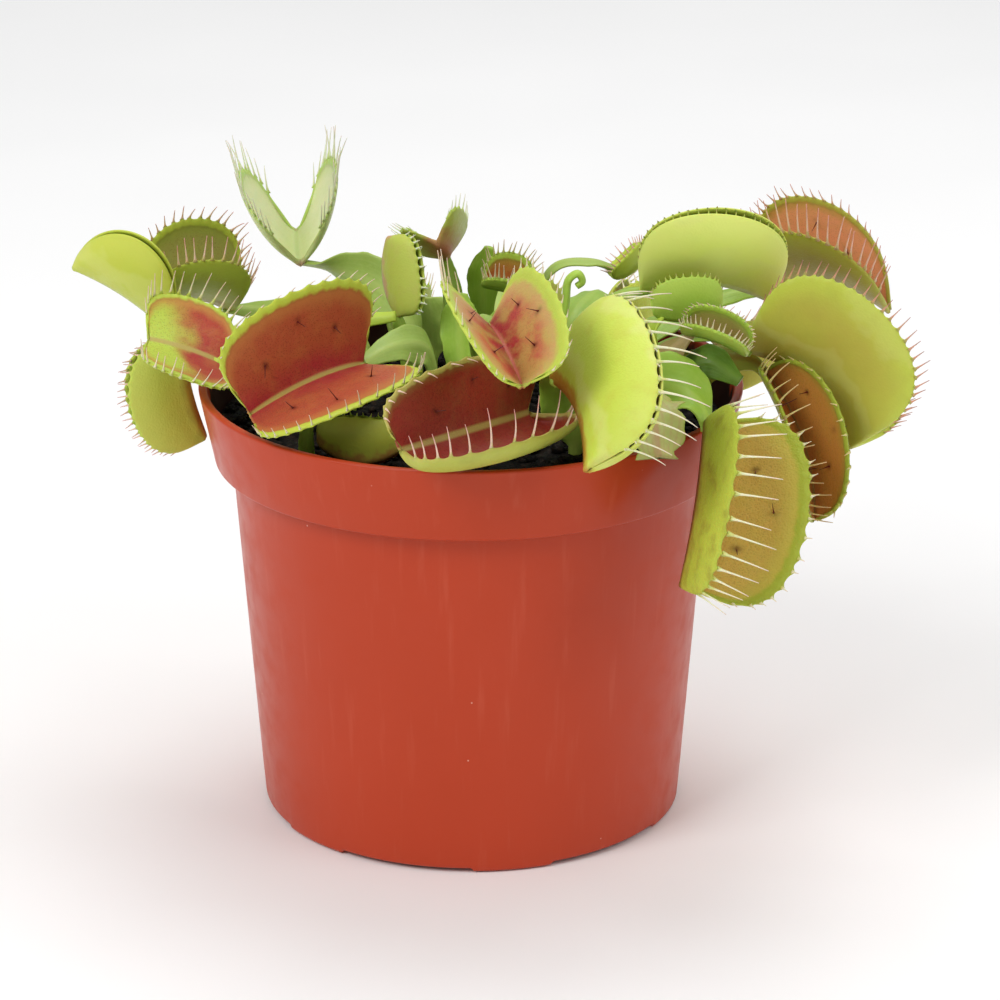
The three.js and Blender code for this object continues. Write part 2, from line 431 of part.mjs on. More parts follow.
// The path of a stalk from its hole to its end, with the width and the side direction at each point.
function stalkPath(leaf, end, run, steps) {
  const ground = new THREE.Vector3(...leaf.root, PEAT.top + 1.6);
  const curve = leaf.through
    ? new THREE.CatmullRomCurve3([ground, ...leaf.through.map(vec), ...(run ? [end] : [])])
    : new THREE.CubicBezierCurve3(ground, ground.clone().setZ(ground.z + leaf.via[0]), run, end);
  const path = [ground.clone().setZ(STALK_FOOT)], at = [0];
  for (let i = 0; i <= steps; i++) { path.push(curve.getPoint(i / steps)); at.push(i / steps); }
  return { path, at };
}

function wingWay(leaf, path) {
  const level = path[path.length - 1].clone().sub(path[0]);
  return (leaf.wing ? vec(leaf.wing) : new THREE.Vector3(-level.y, level.x, 0)).normalize();
}

function makeTrapLeaf(leaf) {
  const axes = trapAxes(leaf);
  const arrive = leaf.arrive ? vec(leaf.arrive).normalize() : axes.along;
  const before = axes.base.clone().addScaledVector(arrive, -(leaf.via ? leaf.via[1] : 1));
  const end = axes.base.clone().addScaledVector(axes.along, 1.4)
    .addScaledVector(axes.out, leaf.arch > 0 ? 0.2 : -0.1);
  const { path, at } = stalkPath(leaf, end, before, leaf.rows > 2 ? 8 : 6);
  const across = wingWay(leaf, path);
  if (across.dot(axes.across) < 0) across.negate();
  const sides = at.map((u) => across.clone().lerp(axes.across, smooth(Math.max(0, (u - 0.5) / 0.5))));
  const widths = at.map((u) => bladeWidth(leaf, STALK.neck, u));
  const stalk = makeStalk(path, sides, widths, widths, 0.12, at.map((u) => mix(STALK.rib, 1.2, u)));
  const joined = makeTrap(leaf, axes).add(stalk);
  return leaf.shut ? wholeOf(joined, leaf.name) : joined;
}

// The lobes of a shut trap can shut in a grain of air where they touch. The grain is filled.
function wholeOf(solid, name) {
  const largest = (joined) => solidFrom(geometryOf(joined)).decompose()
    .reduce((best, body) => (body.volume() > best.volume() ? body : best));
  const whole = largest(largest(solid).simplify(WELD));
  const rest = Math.abs(solid.volume() - whole.volume());
  if (rest > GRAIN) throw new Error(`${name} leaves out ${rest.toFixed(3)} mm3`);
  return whole;
}

function makeBladeLeaf(leaf) {
  const random = seededRandom(leaf.name.length * 7);
  const { path, at } = stalkPath(leaf, null, null, leaf.ragged ? 11 : 6);
  const across = wingWay(leaf, path);
  const torn = () => at.map((u) => bladeWidth(leaf, leaf.end, u) * (1 - leaf.ragged * (u > 0.3) * random()));
  return makeStalk(path, at.map(() => across), torn(), torn(), 0.08, at.map((u) => mix(STALK.rib, 1, u)));
}

// ---------- the whole plant ----------
const group = new THREE.Group();
group.add(meshFrom(makePot(), 'pot', 0xb4462e));
group.add(meshFrom(makePeat([...TRAP_LEAVES, ...BLADE_LEAVES].map((l) => l.root)), 'peat', 0x1b1512));
for (const leaf of TRAP_LEAVES) group.add(meshFrom(makeTrapLeaf(leaf), leaf.name, 0x9db53a));
for (const leaf of BLADE_LEAVES) group.add(meshFrom(makeBladeLeaf(leaf), leaf.name, 0x7d9a45));

export default group;
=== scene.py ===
"""The looks of a potted Venus flytrap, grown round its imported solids.

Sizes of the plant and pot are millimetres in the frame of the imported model: +Z up, the pot's axis on the
origin, its foot at z = 0 and the near side towards -Y. Every mesh is worked out as whole numpy arrays and is
turned into metres where it becomes a Blender mesh. The studio's lights and floor are in metres.
"""

import logging
import math
from dataclasses import dataclass, field
from enum import Enum

import bpy
import numpy as np
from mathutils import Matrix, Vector


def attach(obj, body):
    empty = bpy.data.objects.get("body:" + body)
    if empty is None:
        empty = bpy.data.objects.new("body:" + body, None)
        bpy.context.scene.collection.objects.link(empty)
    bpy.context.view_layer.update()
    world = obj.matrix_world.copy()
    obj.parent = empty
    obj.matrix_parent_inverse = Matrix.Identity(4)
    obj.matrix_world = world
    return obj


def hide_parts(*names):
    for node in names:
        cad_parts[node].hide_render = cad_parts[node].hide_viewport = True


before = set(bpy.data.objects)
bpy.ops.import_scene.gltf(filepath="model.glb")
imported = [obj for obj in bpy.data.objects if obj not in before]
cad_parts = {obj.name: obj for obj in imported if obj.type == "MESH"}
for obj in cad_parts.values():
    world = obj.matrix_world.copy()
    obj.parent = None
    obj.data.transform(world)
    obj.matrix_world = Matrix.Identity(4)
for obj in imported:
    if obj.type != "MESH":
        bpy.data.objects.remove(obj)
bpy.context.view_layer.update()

LOG = logging.getLogger("flytrap")
MM = 0.001
Array = np.ndarray
Random = np.random.Generator
Triple = tuple[float, float, float]
Pair = tuple[float, float]


# ---------------------------------------------------------------- small sums


def vec(values: Triple) -> Array:
    """Returns three numbers as an array."""
    return np.array(values, float)


def unit(v: Array) -> Array:
    """Returns vectors scaled to length one along their last axis."""
    return v / np.maximum(np.linalg.norm(v, axis=-1, keepdims=True), 1e-9)


def smooth(u: Array) -> Array:
    """Returns 3u^2 - 2u^3 with u held between 0 and 1."""
    u = np.clip(u, 0.0, 1.0)
    return u * u * (3 - 2 * u)


def mix(a: Array, b: Array, u: Array) -> Array:
    """Returns the value a share u of the way from a to b."""
    return a + (b - a) * u


def turns(points: int) -> Array:
    """Returns angles that go once round in even steps, without the last."""
    return np.linspace(0, 2 * math.pi, points, endpoint=False)


def ripple(random: Random, *axes: Array, waves: int = 5, top: float = 3.0) -> Array:
    """Makes a smooth random field: a sum of sines whose directions and phases are drawn at random.

    Args:
        random: The seeded source of the draws.
        axes: Coordinate arrays of one shape.
        waves: How many sines are summed.
        top: The highest frequency, in turns for each unit of the coordinates.

    Returns:
        The field, between about -1 and 1.
    """
    total = np.zeros(np.broadcast(*axes).shape)
    for pace in np.linspace(top * 0.3, top, waves):
        slopes = unit(random.normal(size=len(axes)))
        phase = random.uniform(0, 2 * math.pi)
        total = total + np.sin(2 * math.pi * pace * sum(a * s for a, s in zip(axes, slopes)) + phase)
    return total / math.sqrt(waves * 2)


# ---------------------------------------------------------------- meshes


@dataclass
class Growth:
    """One piece, grown out of closed tubes that are carried along paths."""

    name: str
    points: list[Array] = field(default_factory=list)
    faces: list[list[list[int]]] = field(default_factory=list)
    finishes: list[Array] = field(default_factory=list)
    marks: dict[str, list[Array]] = field(default_factory=dict)
    count: int = 0

    def tubes(self, rings: Array, finish: int, **marks: Array) -> None:
        """Adds closed tubes: quads join each ring to the next, and a fan closes each end.

        The signed volume, a sixth of the sum of the triple products of the triangles' corners, tells
        whether the faces point outwards, and they are turned round if it is negative.

        Args:
            rings: Points with the shape (tubes, rings, points in a ring, 3).
            finish: The index of the material.
            marks: Values for the materials, of a shape that spreads over the first three axes.
        """
        n, m, k, _ = rings.shape
        index = np.arange(n * m * k).reshape(n, m, k)
        onward = np.roll(index, -1, axis=2)
        quads = np.stack([index[:, :-1], onward[:, :-1], onward[:, 1:], index[:, 1:]], -1).reshape(-1, 4)
        ends = np.stack([rings[:, 0].mean(1), rings[:, -1].mean(1)], 1).reshape(-1, 3)
        hubs = n * m * k + np.arange(2 * n).reshape(n, 2)
        first = np.stack([onward[:, 0], index[:, 0], np.repeat(hubs[:, :1], k, 1)], -1)
        last = np.stack([index[:, -1], onward[:, -1], np.repeat(hubs[:, 1:], k, 1)], -1)
        fans = np.concatenate([first, last]).reshape(-1, 3)
        points = np.concatenate([rings.reshape(-1, 3), ends])
        halves = np.concatenate([quads[:, :3], quads[:, [0, 2, 3]], fans])
        a, b, c = (points[halves[:, i]] for i in range(3))
        if np.einsum("ij,ij->", a, np.cross(b, c)) < 0:
            quads, fans = quads[:, ::-1], fans[:, ::-1]
        self.faces += [(quads + self.count).tolist(), (fans + self.count).tolist()]
        self.finishes += [np.full(len(quads) + len(fans), finish)]
        self.points.append(points)
        for name in sorted(set(self.marks) | set(marks)):
            values = np.broadcast_to(np.asarray(marks.get(name, 0.0), float), (n, m, k))
            caps = np.stack([values[:, 0].mean(1), values[:, -1].mean(1)], 1).ravel()
            kept = self.marks.setdefault(name, [np.zeros(self.count)] if self.count else [])
            kept.append(np.concatenate([values.ravel(), caps]))
        self.count += len(points)

    def piece(self, materials: list[bpy.types.Material], slot: str, nodes: list[str]) -> bpy.types.Object:
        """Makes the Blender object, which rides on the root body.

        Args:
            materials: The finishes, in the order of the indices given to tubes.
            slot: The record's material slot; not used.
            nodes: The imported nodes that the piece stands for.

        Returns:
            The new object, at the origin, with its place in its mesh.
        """
        mesh = bpy.data.meshes.new(self.name)
        mesh.from_pydata(np.concatenate(self.points) * MM, [], [f for part in self.faces for f in part])
        mesh.polygons.foreach_set("material_index", np.concatenate(self.finishes).astype(np.int32))
        mesh.polygons.foreach_set("use_smooth", np.ones(len(mesh.polygons), bool))
        for name, values in self.marks.items():
            layer = mesh.attributes.new(name, "FLOAT", "POINT")
            layer.data.foreach_set("value", np.concatenate(values).astype(np.float32))
        for material in materials:
            mesh.materials.append(material)
        mesh.update()
        made = bpy.data.objects.new(self.name, mesh)
        bpy.context.scene.collection.objects.link(made)
        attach(made, "root")
        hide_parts(*nodes)
        LOG.info("%s: %d points, %d faces", self.name, len(mesh.vertices), len(mesh.polygons))
        return made


def carried(path: Array, side: Array, face: Array, across: Array, above: Array) -> Array:
    """Carries sections along a path: a point is the path's, plus across along side, plus above along face.

    Args:
        path: Points with the shape (..., 3).
        side: The sideways direction at each of them.
        face: The upward direction at each of them.
        across: Sideways distances with the shape (..., points in a ring).
        above: Upward distances of the same shape.

    Returns:
        The rings, with the shape (..., points in a ring, 3).
    """
    return path[..., None, :] + across[..., None] * side[..., None, :] + above[..., None] * face[..., None, :]


def rounded(corners: Array, radii: Array, steps: int = 5) -> Array:
    """Rounds a profile's corners, each with a parabola that leaves its sides at the given distance.

    Args:
        corners: Points with the shape (corners, 2), the first and last of them kept sharp.
        radii: The distance for each corner.
        steps: Points on each bend.

    Returns:
        The rounded profile's points.
    """
    before, after = np.roll(corners, 1, 0), np.roll(corners, -1, 0)
    before[0], after[-1] = corners[0], corners[-1]
    start = corners + unit(before - corners) * radii[:, None]
    end = corners + unit(after - corners) * radii[:, None]
    u = np.linspace(0, 1, steps)[None, :, None]
    bends = (1 - u) ** 2 * start[:, None] + 2 * u * (1 - u) * corners[:, None] + u**2 * end[:, None]
    return bends.reshape(-1, 2)


# ---------------------------------------------------------------- finishes

Colour = tuple[int, int, int]
Light = tuple[float, float, float, float]
Socket = bpy.types.NodeSocket
Value = Socket | Light | float

NOISE_FILLS = (0.3, 0.7)                  # nearly all of a noise's values lie between these
GLANDS, PORES = 2.9, 1.8                  # dots to a millimetre, inside a trap and outside
GLAND_SHADE = (0.03, 0.006, 0.004, 1.0)   # this and the next two are linear light
RIM_LINE = (0.12, 0.04, 0.015, 1.0)
HAIR_RING = (0.06, 0.004, 0.006, 1.0)
# the colour of a painted sheen: pale highlight streaks on a lobe's outside
PAINTED_SHEEN = (226, 228, 150)
WIDE_BAND = 2.0                           # a rim's band wider than this is mottled


def light(colour: Colour) -> Light:
    """Turns a screen colour into the linear light that the shaders use, by the sRGB curve.

    Args:
        colour: Red, green and blue, from 0 to 255.

    Returns:
        The linear light, with an alpha of 1.
    """
    c = np.array(colour) / 255.0
    linear = np.where(c <= 0.04045, c / 12.92, ((c + 0.055) / 1.055) ** 2.4)
    return (*(float(v) for v in linear), 1.0)


class Shader:
    """Lays down the nodes of one finish round a Principled shader."""

    def __init__(self, name: str, **sockets: float) -> None:
        """Starts a material and sets the sockets that are the same all over the surface.

        Args:
            name: The material's name.
            sockets: Socket names with _ for a space, and their values.
        """
        self.material = bpy.data.materials.new(name)
        self.material.use_nodes = True
        self.tree = self.material.node_tree
        self.shader = self.tree.nodes["Principled BSDF"]
        for key, value in sockets.items():
            self.shader.inputs[key.replace("_", " ")].default_value = value
        self.place = self.tree.nodes.new("ShaderNodeTexCoord").outputs["Object"]

    def put(self, socket: Socket, value: Value) -> None:
        """Sets a socket to a number or colour, or links another socket to it.

        Args:
            socket: The input to fill.
            value: What it takes.
        """
        if isinstance(value, Socket):
            self.tree.links.new(value, socket)
        else:
            socket.default_value = value

    def mark(self, name: str) -> Socket:
        """Reads one of the mesh's own values.

        Args:
            name: The value's name on the mesh.

        Returns:
            The value.
        """
        node = self.tree.nodes.new("ShaderNodeAttribute")
        node.attribute_name = name
        return node.outputs["Fac"]

    def math(self, operation: str, a: Value, b: Value = 0.0) -> Socket:
        """Adds a Math node.

        Args:
            operation: The node's operation.
            a: The first number.
            b: The second number, where the operation has one.

        Returns:
            The result.
        """
        node = self.tree.nodes.new("ShaderNodeMath")
        node.operation = operation
        self.put(node.inputs[0], a)
        self.put(node.inputs[1], b)
        return node.outputs[0]

    def span(self, value: Value, low: float, high: float, to: Pair = (0.0, 1.0)) -> Socket:
        """Adds a smooth step: 3u^2 - 2u^3, where u is how far the value is from low to high.

        Args:
            value: The number that the step follows.
            low: Where the step starts.
            high: Where it ends.
            to: The results at its start and end.

        Returns:
            The result.
        """
        node = self.tree.nodes.new("ShaderNodeMapRange")
        node.interpolation_type = "SMOOTHSTEP"
        ends = {"Value": value, "From Min": low, "From Max": high, "To Min": to[0], "To Max": to[1]}
        for key, end in ends.items():
            self.put(node.inputs[key], end)
        return node.outputs["Result"]

    def spread(self, noise: Socket, low: float, high: float) -> Socket:
        """Returns noise stretched so that it fills low to high."""
        return self.span(noise, *NOISE_FILLS, (low, high))

    def noise(self, scale: float, detail: float, stretch: Triple | None = None) -> Socket:
        """Adds soft noise.

        Args:
            scale: Waves for each millimetre.
            detail: How many finer layers it has.
            stretch: Factors on the three axes, which make streaks.

        Returns:
            The noise, from 0 to 1.
        """
        node = self.tree.nodes.new("ShaderNodeTexNoise")
        node.inputs["Scale"].default_value = scale / MM
        node.inputs["Detail"].default_value = detail
        at = self.place
        if stretch:
            turn = self.tree.nodes.new("ShaderNodeMapping")
            turn.inputs["Scale"].default_value = stretch
            self.put(turn.inputs["Vector"], at)
            at = turn.outputs["Vector"]
        self.put(node.inputs["Vector"], at)
        return node.outputs["Fac"]

    def dots(self, scale: float) -> Socket:
        """Adds scattered points.

        Args:
            scale: How many of them there are to a millimetre.

        Returns:
            The distance to the nearest, as a share of their spacing.
        """
        node = self.tree.nodes.new("ShaderNodeTexVoronoi")
        node.inputs["Scale"].default_value = scale / MM
        self.put(node.inputs["Vector"], self.place)
        return node.outputs["Distance"]

    def mix(self, share: Value, a: Value, b: Value) -> Socket:
        """Mixes two colours.

        Args:
            share: How far the result is from a to b.
            a: The first colour.
            b: The second colour.

        Returns:
            The mixed colour.
        """
        node = self.tree.nodes.new("ShaderNodeMix")
        node.data_type = "RGBA"
        for i, value in ((0, share), (6, a), (7, b)):
            self.put(node.inputs[i], value)
        return node.outputs[2]

    def tint(self, under: Value, over: Colour, along: Value, low: float, high: float,
             shares: Pair = (0.0, 1.0)) -> Socket:
        """Paints a screen colour over another, as strongly as a smooth step tells.

        Args:
            under: The colour below.
            over: The colour painted on.
            along: The number that the step follows.
            low: Where the step starts.
            high: Where it ends.
            shares: How much is covered at its start and end.

        Returns:
            The mixed colour.
        """
        return self.mix(self.span(along, low, high, shares), under, light(over))

    def relief(self, height: Value, depth: float) -> None:
        """Raises the surface.

        Args:
            height: Where it is raised, mostly from 0 to 1.
            depth: How far a height of 1 raises it, in millimetres.
        """
        node = self.tree.nodes.new("ShaderNodeBump")
        node.inputs["Strength"].default_value = 1.0
        node.inputs["Distance"].default_value = depth * MM
        self.put(node.inputs["Height"], height)
        self.put(self.shader.inputs["Normal"], node.outputs["Normal"])

    def done(self, colour: Value, roughness: Value | None = None) -> bpy.types.Material:
        """Gives the surface its colour and, where it varies, its roughness.

        Args:
            colour: The base colour.
            roughness: The roughness, or None to leave it as it was set.

        Returns:
            The material.
        """
        self.put(self.shader.inputs["Base Color"], colour)
        if roughness is not None:
            self.put(self.shader.inputs["Roughness"], roughness)
        return self.material


@dataclass(frozen=True)
class LobeFields:
    """What a lobe's colours follow: the mesh's own values, three noises and a wavy distance to the rim."""

    rim: Socket
    hinge: Socket
    face: Socket
    place: Socket
    spot: Socket
    broad: Socket
    clouds: Socket
    grain: Socket
    edge: Socket


@dataclass(frozen=True)
class LobeFinish:
    """The colours of a trap's lobes, from hinge to rim inside, and outside.

    centre, heart, fade, rim and rib are inside: the middle, by the hinge, inside the rim, the rim's band and
    the hinge's rib. outer, outer_edge and spine are outside. band, fading and ribbed are widths in
    millimetres, of the rim's band, of the fade and of the rib. speckle is how dark the glands are. reach is
    how far from the hinge's base the centre's colour runs, as a share of the hinge, other is the middle of
    the second lobe, where it differs, bumps is the relief in millimetres, line how strong the brown line by
    the rim is, stain how far the spine's colour spreads outside, blotch how blotched the outside is, and
    sheen how strong the painted sheen is: pale highlight streaks painted along the outside.
    """

    centre: Colour
    heart: Colour
    fade: Colour
    rim: Colour
    rib: Colour
    outer: Colour
    outer_edge: Colour
    spine: Colour
    band: float = 1.2
    fading: float = 2.0
    speckle: float = 0.35
    reach: float = 2.0
    ribbed: float = 1.0
    other: Colour | None = None
    bumps: float = 0.05
    line: float = 0.22
    stain: float = 2.0
    blotch: float = 0.2
    sheen: float = 0.0

    def material(self, name: str) -> bpy.types.Material:
        """Builds the finish, with fine bumps, and the inside's colours only where the mesh's face is 1.

        Args:
            name: The material's name.

        Returns:
            The material.
        """
        s = Shader(name, Roughness=0.42, Specular_IOR_Level=0.2, Subsurface_Weight=0.12,
                   Subsurface_Scale=0.0008)
        marks = [s.mark(key) for key in ("rim", "hinge", "face", "length", "spot")]
        noises = [s.noise(0.1, 3.0), s.noise(0.3, 4.0), s.noise(1.5, 3.0)]
        edge = s.math("ADD", marks[0], s.spread(s.noise(0.8, 2.0), -0.16, 0.16))
        on = LobeFields(*marks, *noises, edge)
        inside, outside = self.inside(s, on), self.outside(s, on)
        height = s.math("ADD", s.math("MULTIPLY", s.dots(GLANDS), 0.5), s.math("MULTIPLY", on.grain, 0.6))
        s.relief(s.math("ADD", height, s.math("MULTIPLY", on.clouds, 2.0)), self.bumps)
        return s.done(s.mix(on.face, outside, inside), s.spread(on.grain, 0.36, 0.5))

    def inside(self, s: Shader, on: LobeFields) -> Socket:
        """Colours the inside.

        The heart's colour by the hinge turns to the centre's, then to the fade's, and across a thin brown
        line to the rim's crisp band. Fine dots are the glands, and dark rings stand round the hairs.

        Args:
            s: The shader.
            on: What the colours follow.

        Returns:
            The colour.
        """
        centre = light(self.centre)
        if self.other:
            centre = s.mix(s.mark("second"), centre, light(self.other))
        from_hinge = s.math("ADD", on.hinge, s.spread(on.broad, -1.2, 1.2))
        colour = s.mix(s.span(from_hinge, 0.8, 6.0), light(self.heart), centre)
        colour = s.tint(colour, self.fade, on.clouds, 0.42, 0.72, (0.0, 0.28))
        from_base = s.math("ADD", on.place, s.spread(on.broad, -0.08, 0.08))
        colour = s.tint(colour, self.rim, from_base, self.reach, self.reach + 0.2)
        glands = s.math("MULTIPLY", s.span(s.dots(GLANDS), 0.1, 0.45, (1.0, 0.0)), self.speckle)
        colour = s.mix(glands, colour, s.mix(0.75, colour, GLAND_SHADE))
        colour = s.tint(colour, self.fade, on.grain, 0.4, 0.75, (0.0, 0.1))
        colour = s.tint(colour, self.fade, on.edge, self.band, self.band + self.fading, (0.9, 0.0))
        colour = s.mix(s.span(on.edge, self.band, self.band + 0.6, (self.line, 0.0)), colour, RIM_LINE)
        colour = s.tint(colour, self.rim, on.edge, self.band * 0.6, self.band + 0.3, (1.0, 0.0))
        if self.band > WIDE_BAND:
            colour = s.tint(colour, self.outer, on.clouds, 0.35, 0.65, (0.0, 0.25))
        colour = s.tint(colour, self.rib, on.hinge, 0.3 * self.ribbed, self.ribbed, (0.9, 0.0))
        return s.mix(s.math("MULTIPLY", on.spot, 0.75), colour, HAIR_RING)

    def outside(self, s: Shader, on: LobeFields) -> Socket:
        """Colours the outside: it lightens softly towards the rim, with clouds, pores and a darker spine.

        Where sheen is set, pale highlight streaks are painted on as a sheen.

        Args:
            s: The shader.
            on: What the colours follow.

        Returns:
            The colour.
        """
        colour = s.tint(light(self.outer), self.outer_edge, on.edge, 0.5, 7.0, (1.0, 0.0))
        colour = s.tint(colour, self.outer_edge, on.broad, 0.35, 0.7, (0.0, 0.35))
        colour = s.tint(colour, self.spine, on.clouds, 0.45, 0.75, (0.0, self.blotch))
        # painted highlight: pale sheen streaks in waves across the hinge, standing in for light glancing off
        # the lobe
        if self.sheen:
            sheen_bands = s.math("ADD", s.math("MULTIPLY", on.hinge, 0.5), s.math("MULTIPLY", on.broad, 9.0))
            colour = s.tint(colour, PAINTED_SHEEN, s.math("SINE", sheen_bands), 0.3, 1.0, (0.0, self.sheen))
        colour = s.tint(colour, self.spine, s.dots(PORES), 0.05, 0.35, (0.08, 0.0))
        from_hinge = s.math("ADD", on.hinge, s.spread(on.clouds, -1.0, 1.0))
        colour = s.tint(colour, self.spine, from_hinge, 0.4, self.stain, (0.85, 0.0))
        return s.tint(colour, self.rim, on.rim, 0.05, 0.6, (0.45, 0.0))


class Look(Enum):
    """The looks of the traps, each named for its colour or place."""

    SCARLET = LobeFinish(centre=(180, 84, 58), heart=(176, 54, 60), fade=(192, 122, 66), rim=(190, 204, 72),
                         rib=(190, 168, 88), outer=(150, 172, 62), outer_edge=(184, 198, 76),
                         spine=(130, 140, 60), band=1.3, fading=3.4, speckle=0.45, other=(178, 84, 54))
    MAROON = LobeFinish(centre=(156, 54, 40), heart=(150, 50, 42), fade=(150, 100, 54), rim=(190, 178, 96),
                        rib=(178, 158, 88), outer=(168, 174, 70), outer_edge=(186, 192, 84),
                        spine=(140, 140, 66), band=0.6, fading=1.4, speckle=0.5, ribbed=0.8, line=0.15)
    SPECKLED = LobeFinish(centre=(188, 80, 70), heart=(160, 44, 50), fade=(206, 172, 108), rim=(196, 212, 88),
                          rib=(186, 90, 70), outer=(180, 200, 80), outer_edge=(196, 214, 88),
                          spine=(160, 180, 66), band=2.4, fading=4.6, speckle=0.4, ribbed=0.72,
                          other=(194, 92, 66), line=0.0)
    IVORY = LobeFinish(centre=(150, 66, 38), heart=(128, 48, 30), fade=(176, 140, 70), rim=(214, 218, 110),
                       rib=(150, 110, 40), outer=(200, 216, 80), outer_edge=(210, 224, 100),
                       spine=(184, 122, 44), band=1.4, speckle=0.3, line=0.2, stain=3.0, blotch=0.12,
                       sheen=0.3)
    TAN = LobeFinish(centre=(214, 182, 92), heart=(196, 130, 68), fade=(204, 190, 84), rim=(172, 184, 64),
                     rib=(100, 54, 32), outer=(176, 190, 64), outer_edge=(190, 202, 76), spine=(120, 72, 38),
                     band=2.0, fading=4.0, speckle=0.25, ribbed=1.2, bumps=0.14, line=0.0, stain=4.5,
                     blotch=0.4)
    AMBER = LobeFinish(centre=(202, 144, 70), heart=(186, 120, 60), fade=(184, 156, 68), rim=(160, 174, 62),
                       rib=(150, 110, 46), outer=(146, 158, 56), outer_edge=(164, 178, 62),
                       spine=(124, 112, 50), band=1.3, fading=3.0, speckle=0.3)
    BRONZE = LobeFinish(centre=(176, 128, 64), heart=(160, 90, 50), fade=(160, 150, 60), rim=(188, 204, 76),
                        rib=(150, 140, 60), outer=(186, 174, 76), outer_edge=(194, 204, 80),
                        spine=(172, 166, 70), band=1.4, fading=3.0, speckle=0.3, line=0.2, stain=3.0,
                        sheen=0.16)
    BLUSH = LobeFinish(centre=(244, 186, 140), heart=(226, 160, 112), fade=(212, 182, 104),
                       rim=(184, 186, 82), rib=(170, 150, 76), outer=(166, 158, 62),
                       outer_edge=(178, 182, 74), spine=(150, 134, 64), fading=2.6, speckle=0.25)
    LIME = LobeFinish(centre=(190, 196, 90), heart=(180, 180, 84), fade=(190, 204, 90), rim=(190, 204, 74),
                      rib=(180, 196, 80), outer=(192, 202, 70), outer_edge=(204, 212, 88),
                      spine=(184, 198, 72), band=1.0, speckle=0.1, bumps=0.04, line=0.2, stain=1.5,
                      blotch=0.12, sheen=0.2)
    BRIGHT = LobeFinish(centre=(200, 206, 100), heart=(190, 190, 94), fade=(204, 214, 100),
                        rim=(206, 220, 96), rib=(190, 204, 90), outer=(226, 240, 118),
                        outer_edge=(232, 242, 130), spine=(212, 228, 104), band=1.0, speckle=0.1, bumps=0.04,
                        line=0.2, stain=1.5, blotch=0.06, sheen=0.2)
    FRESH = LobeFinish(centre=(180, 172, 100), heart=(176, 150, 90), fade=(176, 192, 94), rim=(170, 200, 80),
                       rib=(160, 180, 84), outer=(162, 196, 74), outer_edge=(182, 208, 90),
                       spine=(150, 180, 70), band=1.0, fading=1.6, speckle=0.15)
    LEAF = LobeFinish(centre=(168, 168, 78), heart=(160, 140, 70), fade=(160, 180, 66), rim=(178, 196, 76),
                      rib=(150, 170, 66), outer=(178, 188, 74), outer_edge=(192, 204, 92),
                      spine=(196, 150, 116), fading=2.4, speckle=0.2)
    OLIVE = LobeFinish(centre=(160, 156, 84), heart=(156, 112, 66), fade=(158, 166, 76), rim=(178, 192, 72),
                       rib=(150, 140, 70), outer=(152, 162, 66), outer_edge=(176, 188, 74),
                       spine=(136, 124, 60), fading=2.8, speckle=0.3)
    CRIMSON = LobeFinish(centre=(176, 62, 46), heart=(170, 50, 44), fade=(196, 140, 70), rim=(184, 202, 72),
                         rib=(180, 160, 84), outer=(180, 198, 76), outer_edge=(196, 212, 86),
                         spine=(168, 180, 70), band=1.0, fading=2.4, speckle=0.4, reach=0.42)
    SPROUT = LobeFinish(centre=(196, 184, 112), heart=(190, 170, 104), fade=(196, 196, 100),
                        rim=(184, 204, 78), rib=(180, 180, 90), outer=(186, 204, 82),
                        outer_edge=(200, 214, 96), spine=(176, 190, 80), fading=2.4, speckle=0.15)
    PALE = LobeFinish(centre=(222, 226, 178), heart=(208, 216, 158), fade=(206, 218, 150),
                      rim=(178, 204, 104), rib=(196, 210, 136), outer=(186, 206, 120),
                      outer_edge=(202, 216, 144), spine=(196, 160, 130), band=1.0, fading=2.6, speckle=0.1)
    ROSE = LobeFinish(centre=(190, 110, 90), heart=(186, 90, 76), fade=(184, 160, 94), rim=(174, 196, 80),
                      rib=(166, 150, 84), outer=(184, 124, 98), outer_edge=(178, 192, 88),
                      spine=(176, 104, 84), fading=2.4, speckle=0.3, line=0.2, stain=3.5)
    BUD = LobeFinish(centre=(180, 112, 56), heart=(170, 96, 48), fade=(176, 150, 70), rim=(176, 202, 80),
                     rib=(160, 150, 70), outer=(158, 190, 72), outer_edge=(180, 206, 88),
                     spine=(140, 168, 62), band=1.1, fading=1.8, speckle=0.3)
    MOSS = LobeFinish(centre=(150, 120, 50), heart=(140, 90, 40), fade=(156, 150, 60), rim=(168, 180, 70),
                      rib=(140, 120, 60), outer=(150, 156, 56), outer_edge=(168, 174, 64),
                      spine=(140, 96, 50), band=1.0, speckle=0.2)


